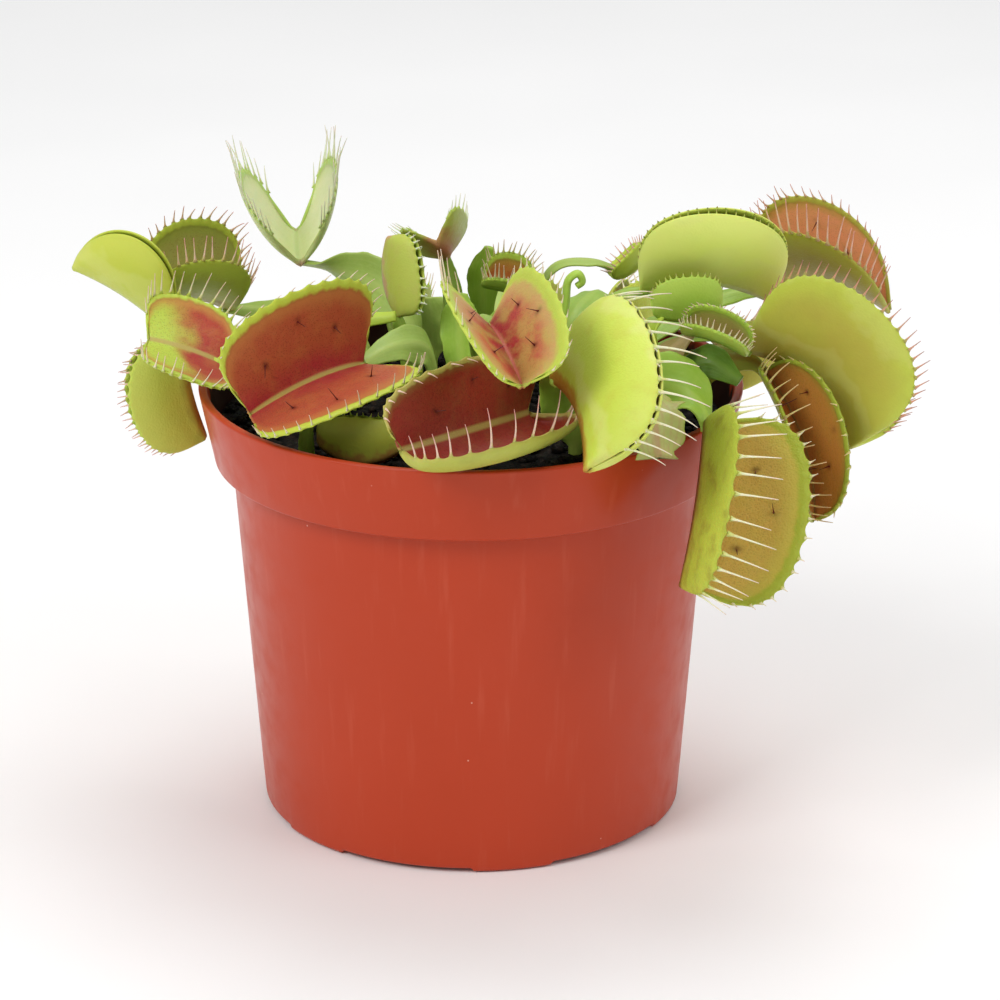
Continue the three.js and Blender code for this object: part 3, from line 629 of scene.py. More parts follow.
@dataclass(frozen=True)
class StalkFinish:
    """The colours of a winged stalk or a blade: its wings, margin, rib and foot, and how striped it is."""

    wing: Colour
    margin: Colour
    rib: Colour
    foot: Colour = (176, 196, 92)
    stripes: float = 0.0

    def material(self, name: str) -> bpy.types.Material:
        """Builds the finish: green wings with long faint lines, a paler rib and foot, a thin margin.

        Args:
            name: The material's name.

        Returns:
            The material.
        """
        s = Shader(name, Roughness=0.42, Specular_IOR_Level=0.25, Subsurface_Weight=0.08,
                   Subsurface_Scale=0.0008)
        rim, hinge, length, around = (s.mark(key) for key in ("rim", "hinge", "length", "around"))
        broad, grain = s.noise(0.2, 4.0), s.noise(1.3, 4.0)
        colour = s.mix(s.spread(broad, 0.0, 0.6), light(self.wing), light(self.margin))
        wave = s.math("SINE", s.math("MULTIPLY", around, 30.0))
        lines = s.span(wave, 0.0, 1.0, (0.0, 0.1 + self.stripes))
        colour = s.mix(lines, colour, light(self.rib))
        colour = s.tint(colour, self.rib, grain, 0.4, 0.8, (0.0, 0.3))
        colour = s.tint(colour, self.margin, rim, 0.1, 0.5, (0.7, 0.0))
        colour = s.tint(colour, self.rib, hinge, 0.2, 1.0, (0.6, 0.0))
        colour = s.tint(colour, self.foot, length, 0.02, 0.3, (0.7, 0.0))
        s.relief(s.math("ADD", s.math("MULTIPLY", grain, 0.6), lines), 0.08)
        return s.done(colour, s.spread(grain, 0.32, 0.5))


class Stem(Enum):
    """The looks of the stalks and blades."""

    GREEN = StalkFinish(wing=(138, 170, 62), margin=(156, 188, 76), rib=(166, 192, 88))
    GREY = StalkFinish(wing=(152, 178, 82), margin=(166, 190, 94), rib=(176, 194, 104))
    FRESH = StalkFinish(wing=(156, 194, 68), margin=(172, 206, 82), rib=(180, 206, 92))
    # a darker green: partly the blade's own colour, partly painted shade where it lies low under the traps
    DARK_AND_SHADED = StalkFinish(wing=(92, 126, 42), margin=(112, 148, 52), rib=(124, 154, 66), foot=(110, 140, 60))
    PINKISH = StalkFinish(wing=(170, 150, 92), margin=(184, 158, 106), rib=(196, 168, 124))
    YELLOW = StalkFinish(wing=(176, 204, 66), margin=(192, 214, 80), rib=(188, 206, 86))
    OLIVE = StalkFinish(wing=(152, 154, 56), margin=(166, 176, 64), rib=(166, 126, 66))
    WITHERED = StalkFinish(wing=(190, 186, 118), margin=(164, 188, 90), rib=(186, 140, 106),
                           foot=(150, 130, 80), stripes=0.12)


@dataclass(frozen=True)
class ToothFinish:
    """The colours of a row of teeth, from root to point."""

    root: Colour
    middle: Colour
    point: Colour

    def material(self, name: str) -> bpy.types.Material:
        """Builds the finish: a blend along each tooth, with soft noise.

        Args:
            name: The material's name.

        Returns:
            The material.
        """
        s = Shader(name, Roughness=0.45, Subsurface_Weight=0.15, Subsurface_Scale=0.0006)
        length = s.math("ADD", s.mark("length"), s.spread(s.noise(0.8, 2.0), -0.12, 0.12))
        colour = s.tint(light(self.root), self.middle, length, 0.0, 0.3)
        colour = s.tint(colour, self.point, length, 0.45, 1.0)
        return s.done(colour, s.spread(s.noise(2.0, 2.0), 0.35, 0.5))


class Row(Enum):
    """The looks of the rows of teeth."""

    CREAM = ToothFinish(root=(190, 204, 86), middle=(230, 220, 184), point=(226, 196, 176))
    IVORY = ToothFinish(root=(206, 212, 120), middle=(240, 236, 202), point=(238, 216, 192))
    PINK = ToothFinish(root=(200, 186, 110), middle=(236, 200, 180), point=(214, 150, 140))
    DUSK = ToothFinish(root=(176, 170, 84), middle=(206, 150, 122), point=(156, 104, 88))
    STRAW = ToothFinish(root=(180, 180, 84), middle=(222, 206, 140), point=(206, 176, 124))
    NUB = ToothFinish(root=(182, 204, 70), middle=(184, 200, 84), point=(164, 160, 84))
    WHITE = ToothFinish(root=(196, 212, 130), middle=(224, 230, 196), point=(226, 222, 204))


class Palette:
    """Makes each finish once and hands it out."""

    def __init__(self) -> None:
        """Starts with only the dark red of the trigger hairs made."""
        self.made: dict[Enum, bpy.types.Material] = {}
        s = Shader("trigger_hair", Roughness=0.5)
        self.hair = s.done(s.tint(light((110, 30, 24)), (40, 14, 14), s.mark("length"), 0.0, 1.0))

    def get(self, look: Enum) -> bpy.types.Material:
        """Gets the material of a look, which is made at its first use.

        Args:
            look: The look, stem or row.

        Returns:
            The material.
        """
        if look not in self.made:
            self.made[look] = look.value.material(f"{type(look).__name__.lower()}_{look.name.lower()}")
        return self.made[look]


# ---------------------------------------------------------------- leaves

PEAT_TOP = 66.0
FIRST_SEED = 40                           # the first leaf's; each next one has the next number
FOOT_RISE, FOOT_SUNK = 1.6, 6.0           # a stalk starts above the peat's top and is led down below it
STALK_WIDTH, STALK_RIB, STALK_EDGE, STALK_NECK = 2.2, 1.5, 0.7, 1.5
STALK_LAP = 1.4                           # how far a stalk runs on along its trap's hinge
OUTLINE_POWER = 0.7
TOOTHED = (0.09, 0.91)                    # the share of the way round the rim where teeth stand
LOBE_STEPS, LOBE_HALF = 176, 19           # points along the hinge, and across one lobe
LOBE_SKIN = 0.3                           # half a lobe's thickness
TOOTH_ROOT, TOOTH_STOUT, TOOTH_FINE = 0.11, 0.014, 0.68
HAIR_ALONG, HAIR_OUT = (0.36, 0.5, 0.63), (0.5, 0.68, 0.42)   # the feet of a lobe's three trigger hairs


def led_through(knots: Array, u: Array) -> Array:
    """Works out points on a smooth curve through knots.

    Each span is a cubic whose end slopes weigh the neighbouring chords by the root of their lengths.

    Args:
        knots: The points that the curve passes, with the shape (knots, 3).
        u: Places along the curve, from 0 to 1.

    Returns:
        The points.
    """
    full = np.concatenate([[2 * knots[0] - knots[1]], knots, [2 * knots[-1] - knots[-2]]])
    spans = len(knots) - 1
    at = np.clip((u * spans).astype(int), 0, spans - 1)
    w = (u * spans - at)[:, None]
    p0, p1, p2, p3 = (full[at + i] for i in range(4))
    d0, d1, d2 = (np.sqrt(np.linalg.norm(b - a, axis=-1, keepdims=True))
                  for a, b in ((p0, p1), (p1, p2), (p2, p3)))
    m1 = ((p1 - p0) / d0 - (p2 - p0) / (d0 + d1) + (p2 - p1) / d1) * d1
    m2 = ((p2 - p1) / d1 - (p3 - p1) / (d1 + d2) + (p3 - p2) / d2) * d1
    return ((2 * w**3 - 3 * w**2 + 1) * p1 + (w**3 - 2 * w**2 + w) * m1
            + (3 * w**2 - 2 * w**3) * p2 + (w**3 - w**2) * m2)


@dataclass(frozen=True)
class TrapAxes:
    """A trap's own axes: along the hinge, out of the mouth and across. lift raises the stalk's end."""

    base: Array
    along: Array
    out: Array
    across: Array
    length: float
    lift: float


@dataclass(frozen=True)
class Stalk:
    """A winged stalk or a blade.

    root is where it leaves the peat, blade how much its wings add to its width, wide the share of the way
    where they are broadest and wing their sideways direction. It rises by via's first value, and comes in to
    the trap from via's second before it in the direction arrive, or is led through points. end is the width
    at its end, ragged how torn its margin is, and stem its look.
    """

    root: Pair
    blade: float
    wide: float
    via: Pair = (10, 6)
    arrive: Triple | None = None
    wing: Triple | None = None
    through: tuple[Triple, ...] = ()
    end: float = STALK_NECK
    ragged: float = 0.0
    stem: Stem = Stem.GREEN

    def path(self, steps: int, axes: TrapAxes | None) -> Array:
        """Works out the path from the peat: a cubic with two control points, or a curve through knots.

        Args:
            steps: How many points it has.
            axes: The trap's axes, or None on a blade.

        Returns:
            The points.
        """
        ground = vec((*self.root, PEAT_TOP + FOOT_RISE))
        u = np.linspace(0, 1, steps)[:, None]
        if axes is None:
            return led_through(np.array([ground, *map(vec, self.through)]), u[:, 0])
        goal = axes.base + axes.along * STALK_LAP + axes.out * axes.lift
        if self.through:
            return led_through(np.array([ground, *map(vec, self.through), goal]), u[:, 0])
        arrive = unit(vec(self.arrive)) if self.arrive else axes.along
        knee, before = ground + [0, 0, self.via[0]], axes.base - arrive * self.via[1]
        return (1 - u) ** 3 * ground + 3 * u * (1 - u) ** 2 * knee + 3 * u**2 * (1 - u) * before + u**3 * goal

    def width(self, u: Array) -> Array:
        """Works out the width: plain between foot and end, plus a hump whose top is at wide.

        Args:
            u: Shares of the way.

        Returns:
            The width at each of them.
        """
        peak = math.log(0.5) / math.log(self.wide)
        hump = np.sin(math.pi * np.clip(u, 0, 1) ** peak) ** 1.3
        return mix(STALK_WIDTH, self.end, u) + (self.blade - mix(STALK_WIDTH, self.end, self.wide)) * hump

    def ways(self, path: Array, u: Array, axes: TrapAxes | None) -> tuple[Array, Array]:
        """Works out the section's directions, which turn from the wings' own to the trap's past half way.

        Args:
            path: The stalk's points.
            u: Each point's share of the way.
            axes: The trap's axes, or None on a blade.

        Returns:
            The sideways and the upward direction at each point, square to the path.
        """
        way = path[-1] - path[0]
        level = unit(vec(self.wing) if self.wing else np.array([-way[1], way[0], 0.0]))
        if axes is None:
            sides = np.repeat(level[None], len(u), 0)
        else:
            level = level if level @ axes.across > 0 else -level
            sides = mix(level, axes.across, smooth((u - 0.5) / 0.5)[:, None])
        along = unit(np.gradient(path, axis=0))
        side = unit(sides - np.sum(sides * along, -1, keepdims=True) * along)
        return side, np.cross(side, along)

    def grow(self, growth: Growth, axes: TrapAxes | None, finish: int, random: Random) -> None:
        """Adds the stalk: a thin lens-shaped section with a rib, wings lifted and waved towards their margin.

        Args:
            growth: The piece that it becomes part of.
            axes: The trap's axes, or None on a blade.
            finish: The index of its material.
            random: The seeded source of its waves.
        """
        steps, around = (44, 28) if self.blade > 3 else (36, 20)
        path = self.path(steps, axes)
        path = np.concatenate([path[:1] - [0, 0, FOOT_SUNK], path])
        u = np.concatenate([[0.0], np.linspace(0, 1, steps)])
        side, face = self.ways(path, u, axes)
        a = turns(around)[None]
        half = self.width(u)[:, None] / 2
        tear = 1 + 0.04 * ripple(random, u[:, None] * 6 + np.sign(np.cos(a)), waves=4, top=2.0)
        if self.ragged:
            margin = np.sign(np.cos(a)) * 3.1 + 0 * u[:, None]
            notch = ripple(random, u[:, None] * 5, margin, waves=6, top=2.6)
            tear = tear - self.ragged * np.clip(notch + 0.3, 0, 1.2) * smooth((u[:, None] - 0.3) * 5)
        x = half * tear * np.cos(a)
        rib = mix(STALK_RIB, 1.1, u)[:, None] / 2
        thick = STALK_EDGE / 2 * np.abs(np.sin(a)) ** 0.6 + (rib - STALK_EDGE / 2) * np.exp(-((x / 0.8) ** 2))
        share = np.abs(x) / np.maximum(half, 0.1)
        fold = (0.12 if axes is not None else 0.08) * np.abs(x)
        wave = 0.1 * half * share**2 * np.sin(2 * math.pi * (u[:, None] * 3.3 + 0.25 * np.sign(x)))
        wave = wave * smooth((half - 1.3) / 1.5)
        if self.ragged:
            wave = wave * 2 + 0.5 * ripple(random, u[:, None] * 4, x / 6, waves=5, top=1.6)
        z = np.sign(np.sin(a)) * thick + fold + wave
        growth.tubes(carried(path, side, face, x, z)[None], finish, rim=(half * tear - np.abs(x))[None],
                     hinge=np.abs(x)[None], length=np.broadcast_to(u[:, None], x.shape)[None],
                     around=(x / np.maximum(half, 0.4))[None], face=(np.sin(a) > 0) * np.ones_like(x)[None])


def doubled(values: Array) -> Array:
    """Returns a sheet's values for both its faces, the second running back."""
    return np.concatenate([values, values[:, ::-1]], axis=1)[None]


@dataclass(frozen=True)
class Trap:
    """A two-lobed trap. The fields have the meanings that the solids' have.

    base and tip are the hinge's ends, opens the way of the mouth, hinge each lobe's angle from it, cup how
    much each lobe curls in, lobe its depth, spread how far it fans out, arch the hinge's rise, teeth the
    number of teeth on a lobe, tooth the longest on each, lean and sweep how they turn, curl how they bend,
    look and row the looks of the lobes and of the teeth, taper how much shorter the teeth get from base to
    tip, deeper a factor on each lobe's depth, power the outline's, waves how wavy the lobes are, arches how
    deep the rim's arches are, and hairy tells whether trigger hairs show.
    """

    base: Triple
    tip: Triple
    opens: Triple
    hinge: Pair
    cup: Pair
    lobe: float
    spread: float
    arch: float
    teeth: int
    tooth: Pair
    lean: Pair = (0, 0)
    sweep: Pair = (0, 0)
    curl: Pair = (25, 25)
    look: Look = Look.LEAF
    row: Row = Row.NUB
    taper: Pair = (0, 0)
    deeper: Pair = (1, 1)
    power: float = OUTLINE_POWER
    waves: float = 0.02
    arches: float = 1.0
    hairy: bool = True

    def axes(self) -> TrapAxes:
        """Works out the trap's axes.

        Returns:
            The axes, square to each other.
        """
        base, way = vec(self.base), vec(self.tip) - vec(self.base)
        length = float(np.linalg.norm(way))
        along, out = way / length, vec(self.opens)
        out = unit(out - (out @ along) * along)
        return TrapAxes(base, along, out, np.cross(out, along), length, 0.2 if self.arch > 0 else -0.1)

    def depth(self, phi: Array, t: Array) -> Array:
        """Returns how deep the lobe with t's sign is: its greatest depth times a power of the sine of phi."""
        return self.lobe * np.where(t < 0, self.deeper[1], self.deeper[0]) * np.sin(phi) ** self.power

    def lobes(self, axes: TrapAxes, phi: Array, t: Array) -> Array:
        """Works out points of both lobes.

        Across a lobe the surface is an arc that starts at the hinge angle and turns in by the cup angle, and
        it is scaled by the lobe's depth at phi, which makes the lobe a bowl.

        Args:
            axes: The trap's axes.
            phi: Places round the rim, from 0 to pi.
            t: Places across both lobes, from -1 to 1, 0 at the hinge.

        Returns:
            The points.
        """
        s, side = np.abs(t), np.where(t < 0, -1.0, 1.0)
        start = np.radians(np.where(t < 0, self.hinge[1], self.hinge[0]))
        cup = np.radians(np.where(t < 0, self.cup[1], self.cup[0]))
        height = self.depth(phi, t)
        x = axes.length / 2 * (1 - (1 + self.spread * np.sin(phi) * s) * np.cos(phi))
        x0 = axes.length / 2 * (1 - np.cos(phi))
        rise = 4 * self.arch * (x0 / axes.length) * (1 - x0 / axes.length)
        y = side * (np.cos(start - cup * s) - np.cos(start)) / cup * height
        z = (np.sin(start) - np.sin(start - cup * s)) / cup * height + rise
        return axes.base + x[..., None] * axes.along + y[..., None] * axes.across + z[..., None] * axes.out

    def grow(self, growth: Growth, axes: TrapAxes, random: Random) -> None:
        """Adds the lobes, one closed sheet with a rounded rim and a rib along the hinge, and what they bear.

        Args:
            growth: The piece that it becomes part of.
            axes: The trap's axes.
            random: The seeded source of its waves, teeth and hairs.
        """
        share = np.linspace(0.012, 0.988, LOBE_STEPS)[:, None]
        phi = share * math.pi
        s = np.sin(np.linspace(0, 1, LOBE_HALF) * math.pi / 2)
        t = np.concatenate([-s[:0:-1], s])[None]
        deep, feet = self.depth(phi, t), self.tooth_places(random)
        reach = self.arched(share, t, feet) / np.maximum(deep, 1.0)
        middle = self.lobes(axes, phi, t * (1 + reach * np.abs(t) ** 14))
        normal = unit(np.cross(np.gradient(middle, axis=0), np.gradient(middle, axis=1)))
        if normal[LOBE_STEPS // 2, LOBE_HALF - 1] @ axes.out < 0:
            normal = -normal
        bend = ripple(random, share + 0 * t, t * 0.6 + 0 * phi, waves=5, top=1.8)
        middle = middle + normal * (self.waves * self.lobe * bend * np.sin(phi) * np.abs(t))[..., None]
        hinge_mm, rim_mm = np.abs(t) * deep, (1 - np.abs(t)) * deep
        edge = LOBE_SKIN * np.sqrt(np.clip(1 - (np.clip(np.abs(t) - 0.955, 0, 1) / 0.046) ** 2, 0.01, 1))
        inner = edge + 0.1 * np.exp(-((hinge_mm / 0.5) ** 2)) + 0.1 * np.exp(-(((rim_mm - 0.9) / 0.45) ** 2))
        outer = edge + 0.5 * np.exp(-((hinge_mm / 0.9) ** 2)) * np.sin(phi) ** 0.5
        shell = np.concatenate([middle + normal * inner[..., None],
                                (middle - normal * outer[..., None])[:, ::-1]], axis=1)
        hairs, ways = self.hairs(axes, random)
        near = np.linalg.norm(middle[:, :, None] - hairs, axis=-1).min(-1)
        flat = np.zeros_like(middle[..., 0])
        growth.tubes(shell[None], 0, rim=doubled(rim_mm), hinge=doubled(hinge_mm),
                     face=np.concatenate([flat + 1, flat], axis=1)[None], length=doubled(share + flat),
                     spot=doubled(self.hairy * np.exp(-((near / 0.5) ** 2))), second=doubled(flat + (t < 0)))
        if self.teeth:
            for side, places in zip((1, -1), feet):
                self.grow_teeth(growth, axes, side, places, random)
        if self.hairy:
            self.grow_hairs(growth, axes, hairs, ways)

    def tooth_places(self, random: Random) -> list[Array]:
        """Draws where the teeth stand: at even steps round the rim, each shifted by up to 0.16 of a step.

        Args:
            random: The seeded source of the shifts.

        Returns:
            The shares of the way round, for each lobe.
        """
        count = max(self.teeth, 6)
        return [TOOTHED[0] + (TOOTHED[1] - TOOTHED[0]) * (np.arange(count) + 0.5
                + random.uniform(-0.16, 0.16, count)) / count for _ in range(2)]

    def notch(self) -> float:
        """Returns how far the rim reaches out to a tooth, in millimetres."""
        return self.arches * min(0.55, 0.04 * self.lobe) if self.teeth else 0.0

    def arched(self, share: Array, t: Array, feet: list[Array]) -> Array:
        """Works out the rim's shallow arches from tooth to tooth.

        The extra depth is the notch times the square of 1 - 2d, where d is the distance to the nearest tooth
        as a share of their spacing.

        Args:
            share: Places round the rim.
            t: Places across both lobes.
            feet: The teeth's places, for each lobe.

        Returns:
            The extra depth in millimetres.
        """
        pitch = (TOOTHED[1] - TOOTHED[0]) / len(feet[0])
        near = [np.abs(share - f[None]).min(1, keepdims=True) for f in feet]
        cusps = [self.notch() * np.clip(1 - 2 * d / pitch, 0, 1) ** 2 for d in near]
        return np.where(t < 0, cusps[1], cusps[0])

    def grow_teeth(self, growth: Growth, axes: TrapAxes, side: int, places: Array, random: Random) -> None:
        """Adds a lobe's teeth: thin tapering bristles, each step of which turns a little further in.

        The radius falls evenly to a fine point, and the foot flares along the rim into its arches.

        Args:
            growth: The piece that they become part of.
            axes: The trap's axes.
            side: 1 for the first lobe and -1 for the second.
            places: Where they stand, as shares of the way round.
            random: The seeded source of their differences.
        """
        n, rings, points = self.teeth, 9, 5
        lobe = 0 if side > 0 else 1
        phi = places * math.pi
        foot_at = side * (1 + (self.notch() - 0.45) / self.depth(phi, np.full(n, side)))
        foot, ahead = self.lobes(axes, phi, foot_at), self.lobes(axes, phi + 0.01, foot_at)
        u = np.linspace(0, 1, rings)
        turn = np.radians(self.hinge[lobe] - self.cup[lobe] - self.lean[lobe] + random.normal(0, 4, n))
        bend = np.radians(self.curl[lobe] + random.normal(0, 5, n))
        angle = turn[:, None] - bend[:, None] * u[None]
        fan = (self.sweep[lobe] - 0.5 * np.cos(phi) + random.normal(0, 0.06, n))[:, None, None]
        way = unit(side * np.sin(angle)[..., None] * axes.across + np.cos(angle)[..., None] * axes.out
                   + fan * axes.along)
        size = self.tooth[lobe] * (0.55 + 0.45 * np.sin(phi)) * random.uniform(0.82, 1.12, n)
        size = size * (1 - self.taper[lobe] * smooth(places * 1.3)) + 0.5
        steps = way * (size / (rings - 1))[:, None, None]
        path = foot[:, None] + np.cumsum(steps, axis=1) - steps[:, :1]
        along = unit(ahead - foot)[:, None]
        side_way = unit(along - np.sum(along * way, -1, keepdims=True) * way)
        face = np.cross(side_way, way)
        down = size[:, None] * u[None]
        root = TOOTH_ROOT + TOOTH_STOUT * size[:, None]
        radius = root * (1 - TOOTH_FINE * u[None]) + 0.07 * np.exp(-down / 0.5)
        a = turns(points)
        across = (radius * (1 + 0.9 * np.exp(-down / 0.5)))[..., None] * np.cos(a)
        growth.tubes(carried(path, side_way, face, across, radius[..., None] * np.sin(a)), 1,
                     length=u[None, :, None])

    def hairs(self, axes: TrapAxes, random: Random) -> tuple[Array, Array]:
        """Places three trigger hairs on each lobe, in a triangle.

        Args:
            axes: The trap's axes.
            random: The seeded source of their differences.

        Returns:
            Their feet, and the ways they stand.
        """
        phi = np.array(HAIR_ALONG * 2) * math.pi + random.uniform(-0.06, 0.06, 6)
        t = np.array([*HAIR_OUT, *(-v for v in HAIR_OUT)])
        foot, out = self.lobes(axes, phi, t), self.lobes(axes, phi, t + 0.01 * np.sign(t))
        ahead = self.lobes(axes, phi + 0.01, t)
        normal = unit(np.cross(ahead - foot, out - foot)) * np.sign(t)[:, None]
        middle = self.lobes(axes, np.full(1, math.pi / 2), np.zeros(1)) + axes.out * self.lobe * 0.6
        normal = normal * np.sign(np.sum(normal * (middle - foot), -1, keepdims=True))
        return foot, normal + random.normal(0, 0.28, (6, 3))

    def grow_hairs(self, growth: Growth, axes: TrapAxes, foot: Array, ways: Array) -> None:
        """Adds the trigger hairs: stiff dark bristles on a thicker foot.

        Args:
            growth: The piece that they become part of.
            axes: The trap's axes.
            foot: Where they stand.
            ways: The ways they stand.
        """
        u = np.linspace(0, 1, 6)
        size = min(2.3, 0.14 * self.lobe)
        path = foot[:, None] + ways[:, None] * (0.2 + size * u)[None, :, None]
        side = unit(np.cross(ways, axes.along))[:, None] * np.ones((1, 6, 1))
        face = unit(np.cross(side, ways[:, None]))
        a = turns(5)
        radius = (0.11 * (1 - 0.7 * u) + 0.08 * np.exp(-u * 8))[None, :, None] * np.ones((6, 1, 1))
        growth.tubes(carried(path, side, face, radius * np.cos(a), radius * np.sin(a)), 2,
                     length=u[None, :, None])


RED_TRAPS = ("leaf_front_left", "leaf_front", "leaf_centre", "leaf_left_red")


@dataclass(frozen=True)
class Leaf:
    """One leaf: its stalk and, on most, its trap."""

    node: str
    stalk: Stalk
    trap: Trap | None = None

    def slot(self) -> str:
        """Tells the record's material slot.

        Returns:
            The slot's name.
        """
        if self.trap is None:
            return "blade"
        return "red_trap" if self.node in RED_TRAPS else "green_trap"

    def build(self, palette: Palette, seed: int) -> bpy.types.Object:
        """Grows the leaf.

        Args:
            palette: Where its materials come from.
            seed: The seed of its random draws.

        Returns:
            Its piece.
        """
        growth, random = Growth(f"{self.node}_grown"), np.random.default_rng(seed)
        axes, materials = None, []
        if self.trap:
            axes = self.trap.axes()
            self.trap.grow(growth, axes, random)
            materials = [palette.get(self.trap.look), palette.get(self.trap.row), palette.hair]
        materials.append(palette.get(self.stalk.stem))
        self.stalk.grow(growth, axes, len(materials) - 1, random)
        return growth.piece(materials, self.slot(), [self.node])


